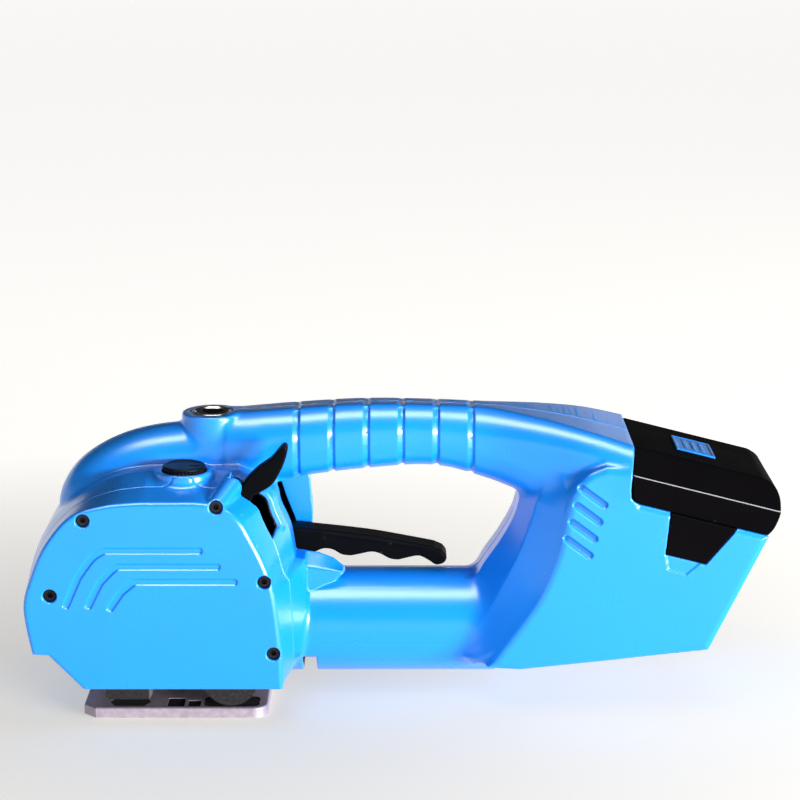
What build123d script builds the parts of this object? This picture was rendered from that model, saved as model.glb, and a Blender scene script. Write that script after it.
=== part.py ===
"""Battery strapping tool: head with side covers, strap gap over a hinged foot, bowed handle over a
motor tube, rear shell with a lift-out battery.

Frame: millimetres, +X from the head towards the battery, +Z up, the open strap side faces -Y.
The origin is on the underside of the foot, on the handle's mid plane.
"""

import math
import os

from build123d import *

# ---------------------------------------------------------------- driving dimensions
WALL = 2.5  # thickness of the moulded shells
RUN = 0.05  # radial running clearance of shafts and pins
GAP = 0.3  # clearance between parts that face each other

# head: Y of its faces and of the parting planes between covers and housing
HEAD_NEAR, HEAD_FAR = -52.0, 46.0
COVER_NEAR, COVER_FAR = -38.0, 34.0
CORE_NEAR, CORE_FAR = -24.0, 20.0
HEAD_BOTTOM = 15.8
DOME_HALF = 15.2
STRUT_HALF = 24.0

# foot
FOOT_X0, FOOT_X1 = -43.0, 43.0
FOOT_NEAR, FOOT_FAR = -46.0, 16.0
FOOT_TOP = 5.0
FOOT_PIVOT = (-33.0, 22.0)
FOOT_PIN_R = 3.0

# drive line: bevel pair, spur pair and belt
TUBE_R, TUBE_Z = 25.0, 34.0
TUBE_X0, TUBE_X1 = 50.0, 148.0
WHEEL = (26.0, 18.9)
WHEEL_R = 13.0
SPUR_MODULE, SPUR_PINION_TEETH, SPUR_GEAR_TEETH = 1.0, 12, 24
BEVEL_MODULE, BEVEL_PINION_TEETH, BEVEL_GEAR_TEETH, BEVEL_FACE = 1.0, 12, 30, 5.0
SPUR_CENTRES = SPUR_MODULE * (SPUR_PINION_TEETH + SPUR_GEAR_TEETH) / 2
DRIVE = (WHEEL[0] + math.sqrt(SPUR_CENTRES**2 - (TUBE_Z - WHEEL[1]) ** 2), TUBE_Z)
ECCENTRIC = (-22.0, TUBE_Z)
ECCENTRICITY, JOURNAL_R = 0.6, 5.0
SHAFT_R = 4.0
PULLEY_DRIVE_R, PULLEY_ECC_R, PULLEY_Y0, PULLEY_Y1 = 11.0, 5.5, 22.0, 30.0
BELT_THICK = 1.2

# levers: their pivots, each nose's reach from its pivot, and their ranges in degrees
LIFT_PIVOT, LIFT_NOSE, LIFT_RANGE = (8.0, 75.0), 12.0, 13.0
WELD_PIVOT, WELD_NOSE, WELD_RANGE = (-36.0, 70.0), 14.0, 12.0
WELD_ARM_Y0, WELD_ARM_Y1 = -37.5, -29.5
PIN_R = 3.0
ROLLER_R = 3.0

# lift rod, weld ram and its rails
ROD_X, ROD_HALF, ROD_COLLAR_Z = LIFT_PIVOT[0] - LIFT_NOSE, 4.0, 62.0
RAM_X0, RAM_X1, RAM_NEAR, RAM_FAR = -32.0, -12.0, -46.0, -31.0
RAM_BOTTOM, JAW_THICK = 10.3, 1.5

# motor
MOTOR_R, MOTOR_X0, MOTOR_X1, ROTOR_R, SHAFT_MOTOR_R = 19.0, 54.6, 128.0, 14.0, 2.5

# frame walls
WALL_NEAR, WALL_MID, WALL_FAR = (-22.0, -17.0), (-12.0, -8.0), (14.0, 18.0)
GUIDE_Z0, GUIDE_Z1 = 46.0, 50.0

# handle-top controls
BUTTON = (16.9, 0.0, 135.0)
BUTTON_R, BEZEL_R, BOSS_R = 6.6, 9.6, 14.0
DIAL = (5.5, -26.2, 114.6)
DIAL_R, DIAL_COLLAR_R = 10.0, 11.6

# rear shell and battery
REAR_HALF = 40.0
BATTERY_TILT = 14.2
BATTERY_ORIGIN = (211.5, 126.1)
CAP_HALF, STEM_HALF = 39.5, 36.0
SEAM_N = -23.5  # height of the cap's lower edge in the battery's own frame
TAB_N = -43.4
STEM_N = -66.0

# screws: x and z of each
SCREW_HEAD_R, SCREW_HEAD, SCREW_R, BOSS_SCREW_R = 2.75, 3.0, 1.5, 4.5
NEAR_SCREWS = [(-38.8, 96.9), (-55.1, 61.3), (21.6, 103.1), (42.7, 67.8), (46.4, 33.4)]
FAR_SCREWS = [(-38.8, 96.9), (-55.1, 61.3), (21.6, 103.1), (42.7, 67.8), (-48.0, 38.0)]
SHELL_SCREWS = [(75.0, 124.0), (120.0, 125.0), (196.0, 104.0), (158.0, 32.0), (236.0, 38.0), (172.0, 62.0)]

BASE = (Align.CENTER, Align.CENTER, Align.MIN)
os.makedirs("parts", exist_ok=True)


# ---------------------------------------------------------------- helpers
def to_near(x, y, z):
    """A frame at (x, y, z) whose own Z axis points to -Y."""
    return Location((x, y, z), (90, 0, 0))


def to_rear(x, y, z):
    """A frame at (x, y, z) whose own Z axis points to +X."""
    return Location((x, y, z), (0, 90, 0))


def side_plane(y):
    """The XZ plane at y; extruding from it goes towards -Y."""
    return Plane.XZ.offset(-y)


def slab(points, y_near, y_far):
    """A plate with a straight-sided outline in XZ."""
    with BuildPart() as made:
        with BuildSketch(side_plane(y_far)):
            with BuildLine():
                Polyline(*points, close=True)
            make_face()
        extrude(amount=y_far - y_near)
    return made.part


def rod_y(x, z, radius, y_near, y_far):
    """A round bar along Y."""
    with BuildPart() as made:
        with Locations(to_near(x, y_far, z)):
            Cylinder(radius, y_far - y_near, align=BASE)
    return made.part


def rod_x(x0, x1, y, z, radius):
    """A round bar along X."""
    with BuildPart() as made:
        with Locations(to_rear(x0, y, z)):
            Cylinder(radius, x1 - x0, align=BASE)
    return made.part


def block(x0, x1, y0, y1, z0, z1):
    """A box from its low corner to its high corner."""
    with BuildPart() as made:
        with Locations(((x0 + x1) / 2, (y0 + y1) / 2, (z0 + z1) / 2)):
            Box(x1 - x0, y1 - y0, z1 - z0)
    return made.part


def bearing(x, z, bore, outer, y_near, y_far):
    """A plain ring bearing along Y."""
    with BuildPart() as made:
        add(rod_y(x, z, outer, y_near, y_far))
        add(rod_y(x, z, bore, y_near, y_far), mode=Mode.SUBTRACT)
    return made.part


def save(part, name):
    """Labels a finished piece and writes it to its own file."""
    part.label = name
    export_step(part, f"parts/{name}.step")
    return part


def turned(point, centre, degrees):
    """point in XZ turned about centre, positive from +Z towards +X."""
    a = math.radians(degrees)
    x, z = point[0] - centre[0], point[1] - centre[1]
    return (centre[0] + x * math.cos(a) + z * math.sin(a), centre[1] - x * math.sin(a) + z * math.cos(a))


# ---------------------------------------------------------------- gears
ADDENDUM, DEDENDUM, PRESSURE, BACKLASH = 0.75, 1.05, math.radians(20), 0.16


def involute(angle):
    return math.tan(angle) - angle


def flank(teeth, module, radius):
    """Half the angle of a tooth at this radius, of an involute gear with these teeth."""
    pitch = module * teeth / 2
    base = pitch * math.cos(PRESSURE)
    half = (math.pi * module / 2 - BACKLASH) / 2 / pitch + involute(PRESSURE)
    return half - involute(math.acos(min(1.0, base / max(radius, base))))


def gear_outline(teeth, radii_and_halves, phase):
    """Corner points of a toothed outline. phase is the angle of one tooth's middle."""
    points = []
    for i in range(teeth):
        middle = phase + 2 * math.pi * i / teeth
        rising = [(r, middle - h) for r, h in radii_and_halves]
        falling = [(r, middle + h) for r, h in reversed(radii_and_halves)]
        points += [(r * math.cos(a), r * math.sin(a)) for r, a in rising + falling]
    return points


def spur_rows(teeth, module, steps=5):
    """Radii from root to tip, each with the tooth's half angle there."""
    pitch = module * teeth / 2
    root, tip = pitch - DEDENDUM * module, pitch + ADDENDUM * module
    radii = [root + (tip - root) * k / (steps - 1) for k in range(steps)]
    return [(r, flank(teeth, module, r)) for r in radii]


def spur_gear(x, z, teeth, module, bore, y_near, y_far, phase):
    with BuildPart() as made:
        with BuildSketch(side_plane(y_far)):
            with Locations((x, z)):
                Polygon(*gear_outline(teeth, spur_rows(teeth, module), phase), align=None)
                Circle(bore, mode=Mode.SUBTRACT)
        extrude(amount=y_far - y_near)
    return made.part


def bevel_rows(teeth, mate, module, plane_distance, steps=5):
    """Radii and half angles of a straight bevel tooth where it crosses a plane square to its axis."""
    pitch = module * teeth / 2
    cone = math.atan2(teeth, mate)
    reach = pitch / math.sin(cone)
    virtual = pitch / math.cos(cone)
    low, high = cone - math.atan(DEDENDUM * module / reach), cone + math.atan(ADDENDUM * module / reach)
    rows = []
    for k in range(steps):
        angle = low + (high - low) * k / (steps - 1)
        back = virtual + reach * math.tan(angle - cone)
        half = flank(virtual * 2 / module, module, back) / math.cos(cone)
        rows.append((plane_distance * math.tan(angle), half))
    return rows


def bevel_gear(apex_plane, teeth, mate, module, face, phase):
    """A straight bevel gear. apex_plane stands at the apex, its Z along the gear's axis."""
    pitch = module * teeth / 2
    cone = math.atan2(teeth, mate)
    reach = pitch / math.sin(cone)
    large, small = reach * math.cos(cone), (reach - face) * math.cos(cone)
    with BuildPart() as made:
        for distance in (small, large):
            with BuildSketch(apex_plane.offset(distance)):
                rows = bevel_rows(teeth, mate, module, distance)
                Polygon(*gear_outline(teeth, rows, phase), align=None)
        loft(ruled=True)
    return made.part, small, large


# ---------------------------------------------------------------- outlines of the shells
def head_sketch(plane, front, front_top, rear_top, rear, toe):
    """The head's side outline: a bulging front, a flat top and a bowed rear over a straight belly."""
    with BuildSketch(plane) as made:
        with BuildLine():
            Spline(*front, front_top)
            Line(front_top, rear_top)
            Spline(rear_top, *rear)
            Polyline(rear[-1], toe, (-41.2, HEAD_BOTTOM), (-56.9, 32.0), front[0])
        make_face()
    return made.sketch


def near_face(y):
    """Outline of the head at a side cover's flat face."""
    front = [(-64.3, 32.7), (-67.3, 55.0), (-57.5, 83.0), (-40.0, 100.6)]
    return head_sketch(side_plane(y), front, (-15.0, 104.9), (16.5, 104.4),
                       [(35.8, 89.8), (45.8, 65.9), (50.0, 32.7)], (50.4, HEAD_BOTTOM))


def core_face(y):
    """Outline of the head where the housing is widest."""
    front = [(-66.5, 33.5), (-69.8, 55.0), (-60.0, 84.0), (-42.0, 104.0)]
    return head_sketch(side_plane(y), front, (-15.0, 109.5), (38.0, 112.0),
                       [(58.0, 102.0), (62.5, 85.0), (60.0, 33.0)], (53.0, HEAD_BOTTOM))


def between_face(y):
    """Outline of the head at the parting planes of the side covers."""
    front = [(-65.4, 33.1), (-68.5, 55.0), (-58.7, 83.5), (-41.0, 102.3)]
    return head_sketch(side_plane(y), front, (-15.0, 107.4), (27.0, 108.2),
                       [(46.9, 96.0), (54.2, 75.5), (55.0, 33.0)], (51.7, HEAD_BOTTOM))


HEAD_HOLLOW = [(-62.0, 34.5), (-65.0, 55.0), (-62.5, 68.0), (-55.5, 82.5), (-38.5, 99.0), (-15.0, 104.0),
               (26.0, 104.8), (44.0, 93.5), (51.0, 75.0), (52.0, 33.0), (49.0, 10.0), (-39.5, 10.0), (-54.0, 33.5)]
COVER_HOLLOW = [(-61.5, 34.5), (-64.0, 55.0), (-61.0, 68.0), (-54.5, 81.0), (-38.0, 97.0), (-15.0, 101.8),
                (15.0, 101.3), (33.0, 87.0), (42.6, 65.0), (46.8, 33.0), (47.0, 10.0), (-39.0, 10.0), (-54.0, 33.5)]
DOME_HOLLOW = [(-48, 92), (-40, 104), (-24, 115), (-10, 121), (20, 127), (45, 125), (45, 95), (-48, 86)]
DOME_TOP = [(-57.0, 87.0), (-51.9, 101.0), (-36.1, 116.8), (-14.0, 126.0), (20.0, 131.5), (45.0, 130.0)]
REAR_FRONT = [(145.5, 22.0), (158.1, 38.0), (174.5, 70.0), (181.3, 97.5), (189.3, 113.0)]
CORE_FRONT = [(161.6, 100.0), (157.9, 90.4), (151.1, 75.0), (138.0, 57.0)]


def battery_point(u, n):
    """A point of the battery's own frame, u along its top and n out of the shell, in XZ."""
    c, s = math.cos(math.radians(BATTERY_TILT)), math.sin(math.radians(BATTERY_TILT))
    return (BATTERY_ORIGIN[0] + u * c + n * s, BATTERY_ORIGIN[1] - u * s + n * c)


def battery_slab(points, y_near, y_far):
    """A plate whose outline is given in the battery's own frame."""
    return slab([battery_point(u, n) for u, n in points], y_near, y_far)


# Handle sections from head to battery: x, z of the middle, half height, half width, corner radius.
HANDLE = [
    (34.0, 115.5, 15.0, 16.5, 14.0),
    (57.0, 121.8, 16.8, 16.5, 15.0),
    (88.0, 124.6, 15.6, 15.5, 14.5),
    (120.0, 125.2, 14.6, 15.0, 14.0),
    (145.0, 121.5, 16.6, 17.0, 15.0),
    (170.0, 116.5, 17.4, 25.0, 14.0),
    (192.0, 114.5, 15.6, 34.0, 12.0),
    (210.0, 112.5, 13.8, 39.0, 10.0),
]


def handle_bar(inset, x_first=0, x_last=len(HANDLE)):
    """The bowed handle, flaring out to the battery's width at its rear end."""
    with BuildPart() as made:
        for x, z, half_z, half_y, radius in HANDLE[x_first:x_last]:
            with BuildSketch(Plane(origin=(x, 0, z), x_dir=(0, 1, 0), z_dir=(1, 0, 0))):
                RectangleRounded(2 * (half_y - inset), 2 * (half_z - inset), radius - inset)
        loft()
    return made.part


def outer_form():
    """Everything the two housing halves fill, before they are hollowed."""
    with BuildPart() as made:
        loft([core_face(CORE_NEAR).face(), between_face(COVER_NEAR).face()], ruled=True)
        loft([between_face(COVER_FAR).face(), core_face(CORE_FAR).face()], ruled=True)
        extrude(core_face(CORE_FAR).face(), amount=CORE_FAR - CORE_NEAR, dir=(0, -1, 0))
    with BuildPart() as dome:
        with BuildSketch(side_plane(DOME_HALF)):
            with BuildLine():
                Spline(*DOME_TOP)
                Polyline(DOME_TOP[-1], (45.0, 95.0), (-52.0, 75.0), DOME_TOP[0])
            make_face()
        extrude(amount=2 * DOME_HALF)
        rim = dome.edges().filter_by(GeomType.BSPLINE)
        fillet(rim, 9.0)
    with BuildPart() as rear:
        with BuildSketch(side_plane(REAR_HALF)):
            with BuildLine():
                Spline(*REAR_FRONT)
                Polyline(REAR_FRONT[-1], (200.0, 117.0), (213.5, 113.0), battery_point(9.0, SEAM_N),
                         battery_point(70.0, SEAM_N), (247.7, 31.0), (160.5, 21.4), REAR_FRONT[0])
            make_face()
        extrude(amount=2 * REAR_HALF)
    with BuildPart() as strut:
        with BuildSketch(side_plane(STRUT_HALF)):
            with BuildLine():
                Spline(*CORE_FRONT)
                Polyline(CORE_FRONT[-1], (134.0, 17.5), (150.0, 18.0), (165.0, 20.0), (205.0, 25.0), (205.0, 108.0),
                         (170.0, 112.0), CORE_FRONT[0])
            make_face()
        extrude(amount=2 * STRUT_HALF)
    with BuildPart() as form:
        add(made.part)
        add(dome.part)
        add(rod_x(TUBE_X0, TUBE_X1, 0, TUBE_Z, TUBE_R))
        add(handle_bar(0.0))
        add(strut.part)
        add(rear.part)
        with Locations((BUTTON[0], BUTTON[1], 112.0)):
            Cylinder(BOSS_R, BUTTON[2] - 112.0, align=BASE)
        with Locations((DIAL[0], DIAL[1], 100.0)):
            Cylinder(DIAL_COLLAR_R, DIAL[2] - 100.0, align=BASE)
    return form.part


def battery_way():
    """The space that the battery's cap fills and lifts out through."""
    outline = [(-GAP, 30), (-GAP, 0), (3.2, -20.7), (6.7, SEAM_N - GAP), (95, SEAM_N - GAP), (95, 30)]
    return battery_slab(outline, -60.0, 60.0)


def tube_notch():
    """Shallow recess at the tube's foot, next to the head."""
    with BuildPart() as made:
        add(block(57.5, 65.0, -30.0, 30.0, 5.0, 22.0))
        add(rod_x(50.0, 70.0, 0, TUBE_Z, TUBE_R - 1.5), mode=Mode.SUBTRACT)
    return made.part


def cut_outs():
    """Hollows, slots and holes of the housing."""
    with BuildPart() as made:
        # head: open at the belly and towards both side covers
        add(slab(HEAD_HOLLOW, HEAD_NEAR, HEAD_FAR))
        add(slab([(10, 60), (58.5, 60), (60.0, 84), (56.0, 99), (10, 104)], -20.0, 17.0))
        add(slab(DOME_HOLLOW, -DOME_HALF + WALL, DOME_HALF - WALL))
        # motor tube, handle and rear shell
        add(rod_x(46.0, TUBE_X1 - WALL, 0, TUBE_Z, TUBE_R - WALL))
        add(handle_bar(WALL))
        add(slab([(166.0, 99), (161.5, 88), (155.0, 73), (143.0, 57), (140.0, 20.5), (164, 22.7), (202, 27.5),
                  (202, 104)], -STRUT_HALF + WALL, STRUT_HALF - WALL))
        add(slab([(155.0, 25.5), (166.0, 43.0), (180.5, 70.0), (187.0, 97.5), (192.5, 108.0), (199.0, 111.0),
                  battery_point(12.0, SEAM_N + 12), battery_point(66.5, SEAM_N + 12),
                  battery_point(66.5, SEAM_N - 2), (245.0, 33.8), (162.0, 24.2)],
                 -REAR_HALF + WALL, REAR_HALF - WALL))
        # seats of the battery's latch tabs, through both side walls
        tab = [(22.9, SEAM_N + 5), (22.9, SEAM_N), (26.2, TAB_N - GAP), (45.4, TAB_N - GAP),
               (54.9, SEAM_N), (54.9, SEAM_N + 5)]
        add(battery_slab(tab, -REAR_HALF - 1, REAR_HALF + 1))
        # lever slots in the head's rear wall
        add(slab([(25, 94), (28, 116), (66, 116), (66, 88), (50, 78), (34, 76)], COVER_NEAR, WELD_ARM_Y1 + 0.5))
        add(block(40.0, 66.0, -9.5, 9.5, 64.5, 98.5))
        # bores of the button and the dial
        with Locations((BUTTON[0], BUTTON[1], 118.0)):
            Cylinder(BEZEL_R + GAP, 20.0, align=BASE)
        with Locations((DIAL[0], DIAL[1], 104.0)):
            Cylinder(DIAL_R + GAP, 12.0, align=BASE)
        add(battery_way())
        # cooling slots in both sides of the rear shell
        for row in range(4):
            x, z = 192.3 - 2.05 * row, 105.0 - 8.0 * row
            with Locations(Location((x, REAR_HALF + 1, z), (90, 0, 0)) * Location((0, 0, 0), (0, 0, -37))):
                Box(12.5, 2.4, 2 * REAR_HALF + 2, align=BASE)
    return made.part


def finger_loop():
    """The open space between handle, tube, head and rear shell."""
    with BuildPart() as made:
        with BuildSketch(side_plane(60.0)):
            with BuildLine():
                Spline((62.8, 105.4), (88.7, 109.2), (121.4, 110.9), (151.0, 104.5), (161.6, 99.5))
                Spline(*[(161.6, 99.5), (157.9, 90.4), (151.1, 75.0), (141.0, 59.0)])
                Polyline((141.0, 59.0), (141.0, 58.6), (62.8, 58.6), (62.8, 105.4))
            make_face()
        extrude(amount=120.0)
    return made.part


def nose():
    """Half-cone fairing of the lever slot's foot on top of the tube."""
    with BuildPart() as made:
        with BuildSketch(Plane(origin=(56.0, 0, 60.0), x_dir=(0, 1, 0), z_dir=(1, 0, 0))):
            Ellipse(17.0, 8.0)
        with BuildSketch(Plane(origin=(79.0, 0, 58.5), x_dir=(0, 1, 0), z_dir=(1, 0, 0))):
            Ellipse(3.0, 1.5)
        loft()
    return made.part


def housing_bosses():
    """Screw bosses and motor ribs that stand inside the housing."""
    with BuildPart() as made:
        for x, z in SHELL_SCREWS:
            add(rod_y(x, z, BOSS_SCREW_R, -60, 60))
        for x0, x1 in [(66.0, 69.0), (118.0, 121.0)]:
            add(rod_x(x0, x1, 0, TUBE_Z, TUBE_R - 1))
            add(rod_x(x0, x1, 0, TUBE_Z, MOTOR_R + RUN), mode=Mode.SUBTRACT)
        for screws, near, far in [(NEAR_SCREWS, COVER_NEAR, -24.0), (FAR_SCREWS, 24.0, COVER_FAR)]:
            for x, z in screws:
                add(rod_y(x, z, BOSS_SCREW_R, near, far))
        for x0, x1, z, near, far in [(-66, -55, 61.3, COVER_NEAR, -24), (-66, -55, 61.3, 24, COVER_FAR),
                                     (43, 56, 67.8, COVER_NEAR, -24), (43, 56, 67.8, 24, COVER_FAR)]:
            add(block(x0, x1, near, far, z - 3, z + 3))
        add(block(46, 56, COVER_NEAR, -31.5, 30.4, 36.4))
        add(block(-60, -48, 24, COVER_FAR, 35, 41))
        add(rod_y(46.4, 33.4, 5, -31.5, -20), mode=Mode.SUBTRACT)
    return made.part


def screw_bores():
    """Bores and head recesses of the screws that part the shells and hold the covers."""
    with BuildPart() as made:
        for x, z in SHELL_SCREWS:
            add(rod_y(x, z, SCREW_R + RUN, -12.5, 10))
            add(rod_y(x, z, SCREW_HEAD_R + GAP, 10, 60))
        for x, z in NEAR_SCREWS:
            add(rod_y(x, z, SCREW_R + RUN, COVER_NEAR, -29.5))
        for x, z in FAR_SCREWS:
            add(rod_y(x, z, SCREW_R + RUN, 25.5, COVER_FAR))
    return made.part


def housing():
    """Both halves of the housing, hollow, before they are parted."""
    with BuildPart() as made:
        add(outer_form())
        add(finger_loop(), mode=Mode.SUBTRACT)
        add(nose())
        add(cut_outs(), mode=Mode.SUBTRACT)
    with BuildPart() as bosses:
        add(housing_bosses())
        add(outer_form(), mode=Mode.INTERSECT)
        add(finger_loop(), mode=Mode.SUBTRACT)
        add(battery_way(), mode=Mode.SUBTRACT)
    with BuildPart() as shell:
        add(made.part)
        add(bosses.part)
        add(screw_bores(), mode=Mode.SUBTRACT)
        # recess at the tube's foot, next to the head
        add(tube_notch(), mode=Mode.SUBTRACT)
    return shell.part


# ---------------------------------------------------------------- housing and covers
shell = housing()
for half_name, y0, y1 in [("housing_near", -60.0, 0.0), ("housing_far", 0.0, 60.0)]:
    with BuildPart() as housing_half:
        add(shell)
        add(block(-100, 320, y0, y1, -10, 160), mode=Mode.INTERSECT)
    save(max(housing_half.part.solids(), key=lambda solid: solid.volume), half_name)


def head_cover(face, parting, hollow_face, screws, out):
    """A side cover from its flat face to its parting plane. out is the way it faces along Y."""
    with BuildPart() as made:
        loft([between_face(parting).face(), near_face(face).face()], ruled=True)
        add(slab(COVER_HOLLOW, min(parting - out, hollow_face), max(parting - out, hollow_face)),
            mode=Mode.SUBTRACT)
        for x, z in screws:
            add(rod_y(x, z, BOSS_SCREW_R, min(parting, face), max(parting, face)))
        for x, z in screws:
            seat = face - out * 5.0
            add(rod_y(x, z, SCREW_HEAD_R + GAP, min(seat, face), max(seat, face)), mode=Mode.SUBTRACT)
            add(rod_y(x, z, SCREW_R + RUN, min(parting, face), max(parting, face)), mode=Mode.SUBTRACT)
    return made.part


save(head_cover(HEAD_NEAR, COVER_NEAR, HEAD_NEAR + WALL, NEAR_SCREWS, -1), "head_cover_near")
save(head_cover(HEAD_FAR, COVER_FAR, HEAD_FAR - WALL, FAR_SCREWS, 1), "head_cover_far")


# ---------------------------------------------------------------- screws
def cap_screws(places, head_near, head_far, shank_near, shank_far, socket_at):
    """Socket-head screws along Y, one solid at each place."""
    with BuildPart() as made:
        for x, z in places:
            add(rod_y(x, z, SCREW_HEAD_R, head_near, head_far))
            add(rod_y(x, z, SCREW_R, shank_near, shank_far))
        with Locations([to_near(x, socket_at, z) for x, z in places]):
            with BuildPart(mode=Mode.PRIVATE) as key:
                with BuildSketch():
                    RegularPolygon(1.45, 6)
                extrude(amount=1.6)
            add(key.part, mode=Mode.SUBTRACT)
    return made.part


save(cap_screws(NEAR_SCREWS, -50.0, -47.0, -47.0, -30.0, -48.4), "cover_screws_near")
save(cap_screws(FAR_SCREWS, 41.0, 44.0, 26.0, 41.0, 44.0), "cover_screws_far")
save(cap_screws(SHELL_SCREWS, 10.0, 13.0, -12.0, 10.0, 13.0), "housing_screws")


# ---------------------------------------------------------------- head frame
FRAME_WALL = [(-50, 30), (-59, 44), (-59, 66), (-47, 82), (-24, 90), (16, 90), (30, 82), (42, 68), (50.5, 60),
              (50.5, 36), (48, 14), (44, 11.5), (-38, 11.5)]
BEARING_R = 8.0
LINE_SHAFTS = [DRIVE, ECCENTRIC]

with BuildPart() as head_frame:
    for y0, y1 in (WALL_NEAR, WALL_FAR):
        add(slab(FRAME_WALL, y0, y1))
    add(block(14, 47.5, *WALL_MID, 11.5, 50))
    add(rod_x(49.5, MOTOR_X0, 0, TUBE_Z, 22.0))
    add(block(-24, -12, WALL_NEAR[0], WALL_FAR[1], 84, 90))
    add(block(-56, -51, WALL_NEAR[0], WALL_FAR[1], 42, 68))
    add(block(-12, 14, WALL_NEAR[0], WALL_FAR[1], GUIDE_Z0, GUIDE_Z1))
    for x0, x1 in [(RAM_X0 - 4.8, RAM_X0 - 0.8), (RAM_X1 + 0.8, RAM_X1 + 4.8)]:
        add(block(x0, x1, -44.0, WALL_NEAR[1], 24, 50))
    # clearances for the bevel pair and the foot's hinge ears
    add(rod_y(*DRIVE, 17.9, 3.0, 12.6), mode=Mode.SUBTRACT)
    add(rod_x(40, 60, 0, TUBE_Z, 8.0), mode=Mode.SUBTRACT)
    # bearing seats, pin holes and the lift rod's guide
    for x, z in LINE_SHAFTS:
        for y0, y1 in (WALL_NEAR, WALL_FAR):
            add(rod_y(x, z, BEARING_R, y0, y1), mode=Mode.SUBTRACT)
    add(rod_y(*DRIVE, BEARING_R, *WALL_MID), mode=Mode.SUBTRACT)
    for y0, y1 in (WALL_NEAR, WALL_MID):
        add(rod_y(*WHEEL, BEARING_R, y0, y1), mode=Mode.SUBTRACT)
    for pin in (LIFT_PIVOT, WELD_PIVOT, FOOT_PIVOT):
        add(rod_y(*pin, PIN_R, WALL_NEAR[0], WALL_FAR[1]), mode=Mode.SUBTRACT)
    guide = ROD_HALF + RUN
    add(block(ROD_X - guide, ROD_X + guide, -guide, guide, 40, 60), mode=Mode.SUBTRACT)
save(head_frame.part, "head_frame")

with BuildPart() as shaft_bearings:
    for x, z in LINE_SHAFTS:
        for y0, y1 in (WALL_NEAR, WALL_FAR):
            add(bearing(x, z, SHAFT_R + RUN, BEARING_R, y0, y1))
    add(bearing(*DRIVE, SHAFT_R + RUN, BEARING_R, *WALL_MID))
    for y0, y1 in (WALL_NEAR, WALL_MID):
        add(bearing(*WHEEL, SHAFT_R + RUN, BEARING_R, y0, y1))
save(shaft_bearings.part, "shaft_bearings")

save(rod_y(*FOOT_PIVOT, PIN_R, WALL_NEAR[0], WALL_FAR[1]), "foot_pin")
save(rod_y(*LIFT_PIVOT, PIN_R, WALL_NEAR[0], WALL_FAR[1]), "lift_lever_pin")
save(rod_y(*WELD_PIVOT, PIN_R, -39.0, WALL_FAR[1]), "weld_lever_pin")


# ---------------------------------------------------------------- motor
CAP = 4.0
with BuildPart() as motor_can:
    add(rod_x(MOTOR_X0, MOTOR_X1, 0, TUBE_Z, MOTOR_R))
    add(rod_x(MOTOR_X0 + CAP, MOTOR_X1 - CAP, 0, TUBE_Z, ROTOR_R + 0.6), mode=Mode.SUBTRACT)
    add(rod_x(MOTOR_X0 - 1, MOTOR_X1 + 1, 0, TUBE_Z, SHAFT_MOTOR_R + RUN), mode=Mode.SUBTRACT)
    with Locations(to_rear(MOTOR_X1 - CAP, 0, TUBE_Z)):
        with PolarLocations(15.0, 8):
            Cylinder(2.0, CAP, align=BASE, mode=Mode.SUBTRACT)
    for y in (-10.5, 10.5):
        add(block(MOTOR_X1, MOTOR_X1 + 5, y - 2.4, y + 2.4, TUBE_Z - 0.4, TUBE_Z + 0.4))
save(motor_can.part, "motor_can")

apex = Plane(origin=(DRIVE[0], 0, TUBE_Z), x_dir=(0, 1, 0), z_dir=(1, 0, 0))
pinion_body, pinion_small, pinion_large = bevel_gear(
    apex, BEVEL_PINION_TEETH, BEVEL_GEAR_TEETH, BEVEL_MODULE, BEVEL_FACE, 0.0)
PINION_X0 = DRIVE[0] + pinion_small
PINION_X1 = DRIVE[0] + pinion_large

with BuildPart() as motor_rotor:
    add(rod_x(PINION_X0, MOTOR_X1 + 3, 0, TUBE_Z, SHAFT_MOTOR_R))
    with Locations(to_rear(66.0, 0, TUBE_Z)):
        with BuildPart(mode=Mode.PRIVATE) as core:
            Cylinder(ROTOR_R, 40.0, align=BASE)
            with PolarLocations(ROTOR_R - 2, 9):
                Box(5.0, 1.6, 40.0, align=BASE, mode=Mode.SUBTRACT)
        add(core.part)
    add(rod_x(112, 121, 0, TUBE_Z, 7.5))
save(motor_rotor.part, "motor_rotor")

with BuildPart() as bevel_pinion:
    add(pinion_body)
    add(rod_x(PINION_X1, PINION_X1 + 2.6, 0, TUBE_Z, 4.6))
    add(rod_x(PINION_X0 - 1, PINION_X1 + 3, 0, TUBE_Z, SHAFT_MOTOR_R), mode=Mode.SUBTRACT)
save(bevel_pinion.part, "bevel_pinion")


# ---------------------------------------------------------------- drive shaft, wheel shaft, eccentric shaft
GEAR_Y0, GEAR_Y1 = -30.0, -25.0
save(rod_y(*DRIVE, SHAFT_R, GEAR_Y0 - 0.6, PULLEY_Y1 + 0.6), "drive_shaft")

gear_axis = Plane(origin=(DRIVE[0], 0, TUBE_Z), x_dir=(1, 0, 0), z_dir=(0, 1, 0))
gear_body, gear_small, gear_large = bevel_gear(
    gear_axis, BEVEL_GEAR_TEETH, BEVEL_PINION_TEETH, BEVEL_MODULE, BEVEL_FACE, math.pi / BEVEL_GEAR_TEETH)
with BuildPart() as bevel_gear_part:
    add(gear_body)
    add(rod_y(*DRIVE, 12.0, gear_large, gear_large + 5.0))
    add(rod_y(*DRIVE, SHAFT_R, 0, 20), mode=Mode.SUBTRACT)
save(bevel_gear_part.part, "bevel_gear")

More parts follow.
